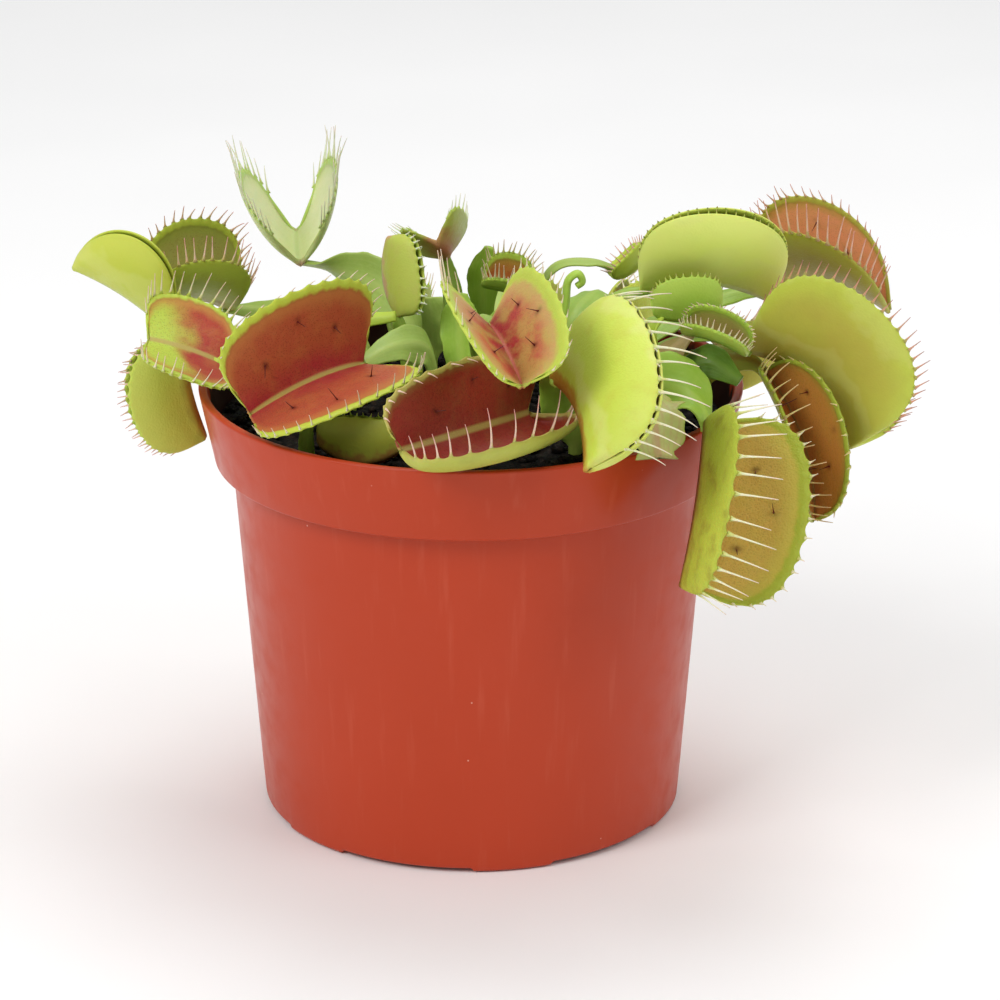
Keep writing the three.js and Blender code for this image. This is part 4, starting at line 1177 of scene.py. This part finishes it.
TRAP_LEAVES = (
    Leaf("leaf_front_left",
         Stalk(root=(-5.5, -2), blade=6.8, wide=0.6, wing=(0, 0.6, 0.8),
               through=((-6, -2.5, 75), (-7.5, -4, 80), (-12, -8, 81.6)), stem=Stem.GREY),
         Trap(base=(-17.5, -13, 80), tip=(-35, -25, 75.5), opens=(0.15, -0.5, 0.85), hinge=(61, 31),
              cup=(7, 7), lobe=16, spread=1.1, arch=2, teeth=19, tooth=(3.4, 2.4), lean=(55, 10),
              sweep=(0, -1), curl=(25, 35), look=Look.SCARLET, row=Row.CREAM, taper=(0.35, 0.9))),
    Leaf("leaf_front",
         Stalk(root=(8, -13), blade=3, wide=0.5, via=(5, 6), arrive=(0.2, -1, 0.3), stem=Stem.OLIVE),
         Trap(base=(9, -25, 76), tip=(-10.5, -48.5, 78), opens=(0.75, -0.55, 0.4), hinge=(90, 88),
              cup=(140, 16), lobe=11, spread=0.8, arch=3, teeth=15, tooth=(6, 2), lean=(0, 85), curl=(25, 20),
              look=Look.MAROON, row=Row.PINK, deeper=(1.3, 1))),
    Leaf("leaf_centre",
         Stalk(root=(3, -9), blade=4.5, wide=0.5, via=(14, 10)),
         Trap(base=(3.1, -33.5, 93.2), tip=(8.1, -48.5, 88.2), opens=(-0.05, -0.3, 0.95), hinge=(51, 45),
              cup=(11, 11), lobe=12, spread=1.3, arch=1.5, teeth=15, tooth=(1.6, 6.5), lean=(20, 30),
              curl=(15, 5), look=Look.SPECKLED, row=Row.CREAM, taper=(0, 0.8))),
    Leaf("leaf_centre_right",
         Stalk(root=(17, -17), blade=10, wide=0.45, wing=(1, 0, 0),
               through=((17, -18, 71), (16, -19.8, 77), (14.6, -24.6, 82.4)), stem=Stem.FRESH),
         Trap(base=(13, -29, 83), tip=(18, -50, 75), opens=(0.55, -0.2, 0.8), hinge=(49, 38), cup=(84, 84),
              lobe=19, spread=1.2, arch=3, teeth=19, tooth=(0.6, 8), lean=(15, 15), curl=(20, 25),
              look=Look.IVORY, row=Row.IVORY, hairy=False)),
    Leaf("leaf_right_low",
         Stalk(root=(21, -17), blade=12, wide=0.55, via=(13, 9), wing=(0, 0.6, 0.8), stem=Stem.FRESH),
         Trap(base=(37.5, -27.5, 75), tip=(33.5, -39.5, 52), opens=(0.7, -0.7, 0.2), hinge=(49, 48),
              cup=(37, 37), lobe=18, spread=0.6, arch=1, teeth=17, tooth=(1.6, 7), lean=(20, 35),
              curl=(10, 20), look=Look.TAN, row=Row.IVORY, waves=0.04, arches=1.5)),
    Leaf("leaf_right_mid",
         Stalk(root=(28, -8), blade=6.5, wide=0.5, via=(7, 8), wing=(0, 0.6, 0.8), stem=Stem.OLIVE),
         Trap(base=(48, -6, 76.5), tip=(56, -16.5, 54.5), opens=(0.45, -0.7, 0.5), hinge=(7, 54),
              cup=(27, 27), lobe=15.2, spread=0.2, arch=4, teeth=15, tooth=(2, 6), lean=(30, 10),
              curl=(10, 40), look=Look.AMBER, row=Row.STRAW)),
    Leaf("leaf_right_large",
         Stalk(root=(25, 1), blade=6, wide=0.5, via=(12, 8)),
         Trap(base=(44.5, -8, 81), tip=(61.5, -15, 66.5), opens=(0.7, 0.2, 0.7), hinge=(80, 68), cup=(48, 48),
              lobe=21.5, spread=0.8, arch=4, teeth=28, tooth=(2.6, 2.6), curl=(-10, -10), look=Look.BRONZE,
              row=Row.DUSK)),
    Leaf("leaf_right_back",
         Stalk(root=(24, 9), blade=6, wide=0.5, via=(10, 10)),
         Trap(base=(51, 23.5, 81), tip=(70, 13.5, 80.5), opens=(-0.15, -0.35, 0.9), hinge=(9, 42),
              cup=(29, 29), lobe=20, spread=0.4, arch=4, teeth=24, tooth=(3, 6.5), lean=(10, 10),
              curl=(-15, 15), look=Look.BLUSH, row=Row.PINK)),
    Leaf("leaf_dome",
         Stalk(root=(16, 3), blade=5, wide=0.5, via=(12, 8)),
         Trap(base=(28, 0.5, 88.3), tip=(49, 2, 86.3), opens=(0.1, -0.4, 0.9), hinge=(34.5, 37), cup=(67, 67),
              lobe=16.5, spread=0.6, arch=3, teeth=28, tooth=(0.5, 0.5), curl=(0, 0), look=Look.BRIGHT,
              arches=0)),
    Leaf("leaf_dome_small",
         Stalk(root=(22, -6.5), blade=7, wide=0.6, via=(12, 4), arrive=(0.2, 0, 1), wing=(1, 0, 0),
               stem=Stem.YELLOW),
         Trap(base=(30, -9, 87.4), tip=(40.5, -8, 87.9), opens=(-0.05, 0.45, 0.9), hinge=(64, 64),
              cup=(60, 60), lobe=7.5, spread=0.3, arch=-1, teeth=16, tooth=(0.5, 0.5), curl=(0, 0),
              look=Look.FRESH)),
    Leaf("leaf_half_open",
         Stalk(root=(27, -14), blade=6, wide=0.66, via=(10, 5), arrive=(0.6, 0, 0.8), wing=(0, 0.6, 0.8),
               stem=Stem.PINKISH),
         Trap(base=(34.5, -12.5, 85.5), tip=(44.5, -15, 82.5), opens=(0.05, -0.65, 0.75), hinge=(34, 42),
              cup=(41, 41), lobe=7, spread=0.4, arch=1.5, teeth=20, tooth=(1.6, 1.6), lean=(10, 10),
              curl=(10, 10), look=Look.FRESH, row=Row.CREAM, hairy=False)),
    Leaf("leaf_far_left",
         Stalk(root=(-21, 11), blade=4, wide=0.4, via=(14, 8), stem=Stem.YELLOW),
         Trap(base=(-51.5, 13, 78.2), tip=(-66.5, 16.5, 87.2), opens=(0.35, -0.55, 0.75), hinge=(34.5, 31.5),
              cup=(63, 63), lobe=16, spread=0.2, arch=1.5, teeth=0, tooth=(0, 0), curl=(0, 0), look=Look.LIME,
              power=1)),
    Leaf("leaf_left_back",
         Stalk(root=(-17, 16), blade=6.5, wide=0.6, via=(12, 10), wing=(0, 0.6, 0.8), stem=Stem.GREY),
         Trap(base=(-41, 24.6, 77.3), tip=(-54, 20.6, 78.1), opens=(0, -0.35, 0.95), hinge=(50, 45),
              cup=(45, 45), lobe=14, spread=0.8, arch=3, teeth=20, tooth=(4, 4), lean=(10, 20), curl=(5, 10),
              look=Look.OLIVE, row=Row.PINK, hairy=False)),
    Leaf("leaf_left_red",
         Stalk(root=(-22, -2), blade=4, wide=0.4, via=(10, 10), stem=Stem.YELLOW),
         Trap(base=(-41, -3.5, 77), tip=(-52.5, -5, 81.5), opens=(0.4, -0.25, 0.9), hinge=(86, 80),
              cup=(11, 11), lobe=11.5, spread=0.8, arch=0.5, teeth=16, tooth=(4.2, 4.2), lean=(40, 40),
              curl=(30, 30), look=Look.CRIMSON, row=Row.CREAM, hairy=False)),
    Leaf("leaf_left_low",
         Stalk(root=(-24, 4), blade=4, wide=0.4, via=(5, 6), arrive=(-1, 0.1, -0.1), stem=Stem.YELLOW),
         Trap(base=(-48, 4, 79.5), tip=(-44.8, 9, 59.8), opens=(-0.9, -0.35, -0.1), hinge=(25, 25),
              cup=(40, 40), lobe=10.5, spread=0.3, arch=1, teeth=16, tooth=(1.4, 1.4), curl=(0, 0),
              look=Look.SPROUT, row=Row.PINK)),
    Leaf("leaf_back_tall",
         Stalk(root=(-9, 20), blade=9, wide=0.6, via=(14, 12), arrive=(-1, 0.3, 0), wing=(0, 0.6, 0.8),
               stem=Stem.GREY),
         Trap(base=(-29.5, 36, 82), tip=(-31, 55.5, 81.5), opens=(0.2, 0.05, 1), hinge=(68, 33), cup=(40, 40),
              lobe=17, spread=1.5, arch=-1, teeth=18, tooth=(6, 6), curl=(0, 0), look=Look.PALE,
              row=Row.WHITE, hairy=False)),
    Leaf("leaf_back_upright",
         Stalk(root=(-10, 6), blade=4, wide=0.5, via=(8, 6), stem=Stem.FRESH),
         Trap(base=(-12, 2.5, 83.5), tip=(-13.5, 6.5, 95.5), opens=(0.7, -0.65, 0.3), hinge=(37, 33),
              cup=(63, 63), lobe=9.5, spread=0.2, arch=-2, teeth=12, tooth=(1, 1), curl=(0, 0), row=Row.WHITE,
              hairy=False)),
    Leaf("leaf_back_small",
         Stalk(root=(-2, 9), blade=4.5, wide=0.35, via=(12, 6)),
         Trap(base=(-4.5, 14, 90), tip=(-5.5, 5.5, 95), opens=(-0.7, 0.45, 0.55), hinge=(82, 35),
              cup=(21, 21), lobe=7.5, spread=1.8, arch=-1, teeth=11, tooth=(2.2, 2.2), curl=(10, 10),
              look=Look.ROSE, row=Row.WHITE, hairy=False)),
    Leaf("leaf_back_centre",
         Stalk(root=(8, 9), blade=4, wide=0.5, via=(10, 5)),
         Trap(base=(9.5, 11.5, 84.5), tip=(2, 11.5, 86), opens=(0.05, -0.5, 0.85), hinge=(47, 47),
              cup=(36, 36), lobe=6.5, spread=0.3, arch=0, teeth=15, tooth=(3.2, 3.2), lean=(10, 10),
              curl=(5, 5), look=Look.BUD, row=Row.CREAM, hairy=False)),
    Leaf("leaf_back_strap",
         Stalk(root=(10, 17), blade=5, wide=0.6, through=((10.5, 16, 80), (14, 15, 88), (20, 14.5, 89)),
               stem=Stem.GREY),
         Trap(base=(24, 14, 86.5), tip=(29, 16, 91), opens=(-0.8, 0.1, 0.6), hinge=(81, 81), cup=(39, 39),
              lobe=5.5, spread=0.2, arch=-1, teeth=10, tooth=(1.6, 1.6), curl=(10, 10), look=Look.CRIMSON,
              row=Row.PINK, hairy=False)),
    Leaf("leaf_front_low",
         Stalk(root=(-8, -23), blade=3, wide=0.5, via=(3, 3), stem=Stem.OLIVE),
         Trap(base=(-11, -31, 72), tip=(-24, -27, 71.6), opens=(0, 0.3, 0.95), hinge=(40, 40), cup=(53, 53),
              lobe=7.5, spread=0.2, arch=-2.5, teeth=9, tooth=(0.5, 0.5), curl=(10, 10), look=Look.MOSS,
              hairy=False)),
    Leaf("leaf_rear_left",
         Stalk(root=(-12.4, 32.4), blade=8.6, wide=0.45, wing=(1, 0, 0),
               through=((-12, 36, 73.5), (-12.2, 41, 75.2), (-13.4, 45.6, 75.1))),
         Trap(base=(-13.9, 48.6, 71.6), tip=(-16, 53.5, 58), opens=(0, 0.95, 0.3), hinge=(60, 60),
              cup=(35, 35), lobe=11, spread=0.2, arch=2, teeth=14, tooth=(3, 3), lean=(10, 10), curl=(10, 10),
              look=Look.BUD, row=Row.CREAM)),
    Leaf("leaf_rear",
         Stalk(root=(4, 27), blade=8, wide=0.45, wing=(1, 0, 0),
               through=((4.2, 33, 73.5), (4.6, 40, 75.2), (5, 46, 75.1)), stem=Stem.GREY),
         Trap(base=(5.2, 49.2, 71.6), tip=(6.5, 54, 57.5), opens=(0.1, 0.95, 0.3), hinge=(50, 66),
              cup=(45, 30), lobe=12, spread=0.2, arch=2, teeth=14, tooth=(3, 3), lean=(10, 10), curl=(15, 15),
              look=Look.SCARLET, row=Row.CREAM)),
    Leaf("leaf_rear_right",
         Stalk(root=(15, 25), blade=8, wide=0.45, wing=(0.9, -0.4, 0),
               through=((17, 30.5, 73.5), (19.6, 36.5, 75.2), (22, 41.2, 75.1))),
         Trap(base=(23.6, 44.2, 71.6), tip=(27, 48.5, 58.5), opens=(0.45, 0.85, 0.3), hinge=(40, 40),
              cup=(60, 60), lobe=11, spread=0.2, arch=2, teeth=14, tooth=(3, 3), lean=(10, 10), curl=(10, 10),
              look=Look.TAN, row=Row.CREAM)),
    Leaf("leaf_rear_far_right",
         Stalk(root=(24, 18.5), blade=7, wide=0.45, wing=(0.6, -0.8, 0),
               through=((28, 21.6, 73.5), (33, 25, 75.2), (37.4, 27.8, 75.1))),
         Trap(base=(40, 29.6, 71.6), tip=(44.5, 33.5, 59.5), opens=(0.75, 0.6, 0.3), hinge=(62, 55),
              cup=(30, 35), lobe=10, spread=0.2, arch=2, teeth=14, tooth=(3, 3), lean=(10, 10), curl=(20, 20),
              look=Look.MAROON, row=Row.PINK)),
)

BLADE_LEAVES = (
    Leaf("blade_left",
         Stalk(root=(-19.5, 4), blade=2.8, wide=0.6, wing=(0, 0.6, 0.8),
               through=((-20.5, 3, 76), (-19, 0, 82.7), (-12.3, -1.5, 84.6)), end=1.8, stem=Stem.YELLOW)),
    Leaf("blade_centre",
         Stalk(root=(0, -1), blade=6.5, wide=0.6, wing=(1, 0, 0),
               through=((-1.5, 1, 75), (-1.8, 4, 83), (-1.2, 5, 86.5)), end=1.4, stem=Stem.FRESH)),
    Leaf("blade_rear",
         Stalk(root=(-7, 26.5), blade=13, wide=0.6, wing=(1, 0, 0),
               through=((-7.2, 27, 73), (-7.5, 28, 78.5)), end=5, stem=Stem.GREY)),
    Leaf("blade_middle",
         Stalk(root=(4, 2), blade=6, wide=0.6, wing=(1, 0, 0),
               through=((4.5, 3, 75), (5.5, 5, 81), (6.5, 6.5, 84.5)), end=1.4)),
    Leaf("blade_back",
         Stalk(root=(2, 19), blade=5.5, wide=0.7, wing=(1, 0, 0),
               through=((2, 17, 77.3), (2, 15.5, 86), (3, 15, 91.4)), end=1.6, stem=Stem.FRESH)),
    # its darker green is partly painted shade
    Leaf("blade_right",
         Stalk(root=(32, -12.5), blade=6, wide=0.65, wing=(0, 0.6, 0.8),
               through=((33, -12.5, 75), (38, -14, 81), (43.5, -16.5, 78.4)), end=2, stem=Stem.DARK_AND_SHADED)),
    Leaf("bud",
         Stalk(root=(13, -5), blade=2.4, wide=0.4, wing=(0, 1, 0),
               through=((14.5, -5, 80), (15.5, -5, 88), (16, -5, 92),
                        (17.5, -5, 93), (18.2, -5, 91.6), (17.3, -5, 90.8)),
               end=1.2, stem=Stem.FRESH)),
    Leaf("cut_stalk",
         Stalk(root=(-26, -24), blade=2.6, wide=0.5, through=((-26.2, -25, 70), (-26, -26.5, 74.5)), end=2)),
    Leaf("old_leaf",
         Stalk(root=(21.5, -24), blade=13, wide=0.72,
               through=((23, -28, 76), (26, -33, 82), (28.5, -38, 80), (29.5, -42.5, 74.5)), end=7,
               ragged=0.3, stem=Stem.WITHERED)),
)


# ---------------------------------------------------------------- pot and peat


@dataclass(frozen=True)
class Pot:
    """The moulded pot: a band under the rim, a step below it, a tapering body and a recessed foot.

    recess_half and slot_half are half the arcs of the foot's recesses and of the floor's slots, in degrees,
    and turn is where the first of them is.
    """

    height: float = 73.0
    rim: float = 45.0
    band: float = 12.5
    band_foot: float = 42.4
    body_top: float = 39.6
    base: float = 35.0
    wall: float = 1.2
    rim_wall: float = 1.5
    floor: float = 1.6
    recesses: int = 6
    recess_half: float = 19.6
    recess_rise: float = 0.5
    slot_half: float = 12.5
    slot_roof: float = 0.65
    turn: float = -108.5
    sectors: int = 360

    def build(self) -> bpy.types.Object:
        """Turns the rounded profile round the axis, then lifts the foot's recesses and sinks the slots.

        A recess or slot is a share of its depth: a smooth step up and down over its arc and over its radii.

        Returns:
            The piece.
        """
        z0, taper = self.height - self.band, (self.body_top - self.base) / (self.height - self.band)
        profile = self.profile(z0, taper)
        a = turns(self.sectors)
        r, z = profile[:, :1], profile[:, 1:]
        step = 360 / self.recesses
        off = np.abs((np.degrees(a)[None] - self.turn + step / 2) % step - step / 2)
        low = smooth((3.2 - z) / 3.0) * (np.arange(len(profile))[:, None] < 22)
        lift = self.recess_rise * smooth((self.recess_half - off) / 1.0) * smooth((r - 25.7) / 0.4) * low
        slot = (smooth((self.slot_half - off) / 1.0) * smooth((r - 27.9) / 0.15) * smooth((32.1 - r) / 0.15)
                * (z < 0.01))
        z = z + lift + slot * (self.floor - self.slot_roof)
        rings = np.stack([r * np.cos(a), r * np.sin(a), z + 0 * a], -1)
        up = profile[:, 1]
        outside = np.where(up > z0, self.band_foot + (self.rim - self.band_foot) * (up - z0) / self.band,
                           self.base + taper * up)
        # within marks the inside wall, and sunk, its depth below the rim, drives the painted shade in the
        # finish
        within = (profile[:, 0] < outside - self.wall / 2) & (up > self.floor)
        growth = Growth("pot_moulded")
        growth.tubes(rings[None], 0, slot=slot[None],
                     sunk=np.where(within, self.height - up, 0.0)[None, :, None])
        return growth.piece([self.finish()], "pot", ["pot"])

    def profile(self, z0: float, taper: float) -> Array:
        """Draws the profile: under the floor, up the outside, over the rim, down the inside, to the middle.

        Args:
            z0: The height of the step below the band.
            taper: How much the body's radius grows with height.

        Returns:
            Radii and heights.
        """
        under = np.array([(r, 0.0) for r in (0.4, 14, 25.6, 26.2, 27.8, 28.1, 31.9, 32.2, 33.6)])
        corners = np.array([
            (33.6, 0), (self.base, 0), (self.body_top, z0), (self.band_foot, z0), (self.rim, self.height),
            (self.rim - self.rim_wall, self.height), (self.band_foot - self.wall + 0.1, z0 + 1.6),
            (self.body_top + 0.7 * taper - self.wall, z0 + 0.7),
            (self.base - self.wall + self.floor * taper, self.floor), (0.4, self.floor)])
        bends = rounded(corners, np.array([0, 0.7, 0.25, 0.45, 0.5, 0.5, 0.6, 0.6, 0.8, 0]))
        wall = np.linspace(bends[9], bends[10], 12)[1:-1]
        return np.concatenate([under[:-1], bends[:10], wall, bends[10:]])

    def finish(self) -> bpy.types.Material:
        """Builds the half-gloss terracotta plastic, with clouds, scuffs, dust and dirt.

        Painted shade darkens the floor's slots, and the inside wall grows near black with depth below the
        rim.

        Returns:
            The material.
        """
        s = Shader("terracotta_plastic", Roughness=0.36, Specular_IOR_Level=0.26)
        clouds = s.spread(s.noise(0.02, 3.0), 0.0, 1.0)
        colour = s.mix(clouds, light((182, 60, 26)), light((188, 64, 32)))
        scuffs = s.noise(0.5, 4.0, (1.0, 1.0, 0.06))
        colour = s.tint(colour, (204, 100, 74), scuffs, 0.55, 0.8, (0.0, 0.25))
        dust = s.span(s.dots(0.16), 0.012, 0.03, (1.0, 0.0))
        dust = s.math("MULTIPLY", dust, s.span(s.noise(0.09, 2.0), 0.5, 0.56))
        colour = s.mix(dust, colour, light((222, 170, 150)))
        dirt = s.span(s.dots(0.11), 0.01, 0.02, (1.0, 0.0))
        dirt = s.math("MULTIPLY", dirt, s.span(s.noise(0.07, 2.0), 0.54, 0.6))
        colour = s.mix(dirt, colour, light((70, 30, 22)))
        # painted shade: the floor's sunk slots are painted near black
        colour = s.mix(s.mark("slot"), colour, light((22, 16, 13)))
        # painted shade: the inside wall turns near black with its depth below the rim
        painted_shade_depth = s.math("ADD", s.mark("sunk"), s.spread(s.noise(0.3, 4.0), -1.0, 1.0))
        colour = s.tint(colour, (20, 14, 12), painted_shade_depth, 1.2, 2.6, (0.0, 0.97))
        waves = s.math("MULTIPLY", s.noise(0.03, 2.0), 2.0)
        grain = s.math("MULTIPLY", s.noise(2.2, 2.0), 0.06)
        s.relief(s.math("ADD", waves, grain), 0.12)
        return s.done(colour, s.span(s.noise(0.25, 4.0), 0.3, 0.8, (0.3, 0.46)))


@dataclass(frozen=True)
class Peat:
    """The black peat: a plug that fills the pot, with a crumbly top.

    crown is how far its middle rises and drop how far down its side starts. ledge and throat are the radius
    and height of the plug where it meets the step inside the pot.
    """

    top: float = PEAT_TOP
    crown: float = 1.2
    drop: float = 1.2
    edge: float = 41.7
    ledge: Pair = (41.0, 62.4)
    throat: Pair = (38.1, 61.4)
    foot: float = 33.6
    bottom: float = 1.9
    hub: float = 0.3
    crumbs: int = 900
    seed: int = 5

    def build(self) -> bpy.types.Object:
        """Turns the plug's outline, ripples its top, and scatters crumbs over it.

        Returns:
            The piece.
        """
        random = np.random.default_rng(self.seed)
        a = turns(180)[None]
        top = np.linspace(self.hub, self.edge, 70)
        below = [self.top - self.drop, self.ledge[1], self.throat[1], self.bottom, self.bottom]
        r = np.concatenate([top, [self.edge, self.ledge[0], self.throat[0], self.foot, self.hub]])[:, None]
        z = np.concatenate([self.top + self.crown * (1 - top / self.edge), below])[:, None]
        x, y = r * np.cos(a), r * np.sin(a)
        lumps = 0.5 * ripple(random, x, y, waves=9, top=0.16) + 0.22 * ripple(random, x, y, waves=9, top=0.7)
        lumps = lumps + 0.12 * random.normal(size=x.shape)
        on_top = (np.arange(len(r)) < len(top) - 1)[:, None] * smooth((self.edge - r) / 1.0)
        growth = Growth("peat_crumbly")
        growth.tubes(np.stack([x, y, z + lumps * on_top], -1)[None], 0)
        self.scatter(growth, random)
        return growth.piece([self.finish()], "peat", ["peat"])

    def scatter(self, growth: Growth, random: Random) -> None:
        """Adds crumbs: small lumps of four rings whose radii and heights are drawn at random.

        Args:
            growth: The piece that they become part of.
            random: The seeded source of the draws.
        """
        n, rings, points = self.crumbs, 4, 6
        far, turn = (self.edge - 1.5) * np.sqrt(random.uniform(0, 1, n)), random.uniform(0, 2 * math.pi, n)
        size = random.uniform(0.35, 1.1, n)
        centre = np.stack([far * np.cos(turn), far * np.sin(turn),
                           self.top + self.crown * (1 - far / self.edge) + 0.25 * size], -1)
        u = np.linspace(0.15, 0.85, rings) * math.pi
        a = turns(points)
        rough = random.uniform(0.7, 1.3, (n, rings, points)) * size[:, None, None]
        flat = random.uniform(0.4, 0.9, (n, 1, 1))
        x = rough * np.sin(u)[None, :, None] * np.cos(a)
        y = rough * np.sin(u)[None, :, None] * np.sin(a)
        z = rough * np.cos(u)[None, :, None] * flat
        growth.tubes(centre[:, None, None] + np.stack([x, y, z], -1), 0)

    def finish(self) -> bpy.types.Material:
        """Builds the moist black peat, mottled with brown fibres.

        Its near-black base is the peat's own dark colour, darkened further as painted shade.

        Returns:
            The material.
        """
        s = Shader("moist_peat", Specular_IOR_Level=0.1)
        # near-black base: the peat's own dark colour, darkened further as painted shade
        colour = s.tint(light((10, 8, 7)), (40, 28, 20), s.noise(0.9, 5.0), 0.45, 0.75)
        fibres = s.noise(0.3, 4.0, (1.0, 0.2, 1.0))
        colour = s.tint(colour, (66, 46, 32), fibres, 0.6, 0.75, (0.0, 0.6))
        s.relief(s.noise(1.5, 5.0), 0.5)
        return s.done(colour, s.spread(s.noise(0.6, 3.0), 0.5, 0.95))


# ---------------------------------------------------------------- studio


@dataclass(frozen=True)
class SoftBox:
    """A square soft light that looks at the plant. Its place and size are metres and its power is watts."""

    place: Triple
    size: float
    power: float
    aim: Triple = (0, 0, 0.06)

    def build(self) -> None:
        """Adds the light."""
        lamp = bpy.data.lights.new("soft_box", "AREA")
        lamp.shape, lamp.size, lamp.energy = "SQUARE", self.size, self.power
        made = bpy.data.objects.new("soft_box", lamp)
        made.location = self.place
        made.rotation_euler = (Vector(self.aim) - Vector(self.place)).to_track_quat("-Z", "Y").to_euler()
        bpy.context.scene.collection.objects.link(made)


@dataclass(frozen=True)
class Studio:
    """The plain pale floor, the soft lights and the camera of the photograph's view.

    The camera's distance and target are millimetres, and floor_half and floor_drop metres.
    """

    elevation: float = 20.15
    distance: float = 741.0
    target: Triple = (4.8, 0.0, 51.95)
    lens: float = 160.0
    sensor: float = 36.0
    air: float = 0.42
    floor_half: float = 4.0
    floor_drop: float = 0.0002
    boxes: tuple[SoftBox, ...] = (
        SoftBox((-0.55, -0.55, 0.7), 0.45, 4.6), SoftBox((0.6, -0.3, 0.5), 0.4, 1.2),
        SoftBox((0.1, 0.35, 0.9), 0.6, 4.0))

    def build(self) -> None:
        """Sets up the camera, the floor, the world's light and the soft boxes."""
        camera = bpy.data.objects.new("camera", bpy.data.cameras.new("camera"))
        tilt = math.radians(self.elevation)
        back = Vector((0, -math.cos(tilt), math.sin(tilt)))
        camera.location = Vector(self.target) * MM + back * self.distance * MM
        camera.rotation_euler = (-back).to_track_quat("-Z", "Y").to_euler()
        camera.data.lens, camera.data.sensor_width = self.lens, self.sensor
        camera.data.clip_start, camera.data.clip_end = 0.01, 20.0
        bpy.context.scene.collection.objects.link(camera)
        bpy.context.scene.camera = camera
        world = bpy.data.worlds.new("pale_room")
        world.use_nodes = True
        world.node_tree.nodes["Background"].inputs["Color"].default_value = (1.0, 1.0, 1.0, 1.0)
        world.node_tree.nodes["Background"].inputs["Strength"].default_value = self.air
        bpy.context.scene.world = world
        bpy.context.scene.view_settings.view_transform = "Standard"
        self.floor()
        for box in self.boxes:
            box.build()

    def floor(self) -> None:
        """Adds the pale floor: a wide flat sheet just below the pot's foot."""
        u = np.linspace(-1, 1, 41) * self.floor_half
        x, y = np.meshgrid(u, u)
        points = np.stack([x, y, -self.floor_drop + 0 * x], -1).reshape(-1, 3)
        index = np.arange(len(points)).reshape(x.shape)
        quads = np.stack([index[:-1, :-1], index[:-1, 1:], index[1:, 1:], index[1:, :-1]], -1).reshape(-1, 4)
        mesh = bpy.data.meshes.new("floor")
        mesh.from_pydata(points, [], quads.tolist())
        s = Shader("pale_floor", Roughness=0.8)
        clouds = s.spread(s.noise(0.01, 2.0), 0.0, 1.0)
        mesh.materials.append(s.done(s.mix(clouds, (0.96, 0.96, 0.96, 1), (0.98, 0.98, 0.98, 1))))
        floor = bpy.data.objects.new("floor", mesh)
        bpy.context.scene.collection.objects.link(floor)


def main() -> None:
    """Builds the studio, the pot, the peat and every leaf, in that order."""
    logging.basicConfig(level=logging.INFO, format="%(name)s %(message)s")
    Studio().build()
    Pot().build()
    Peat().build()
    palette = Palette()
    for seed, leaf in enumerate((*TRAP_LEAVES, *BLADE_LEAVES), start=FIRST_SEED):
        leaf.build(palette, seed)


if __name__ == "__main__":
    main()
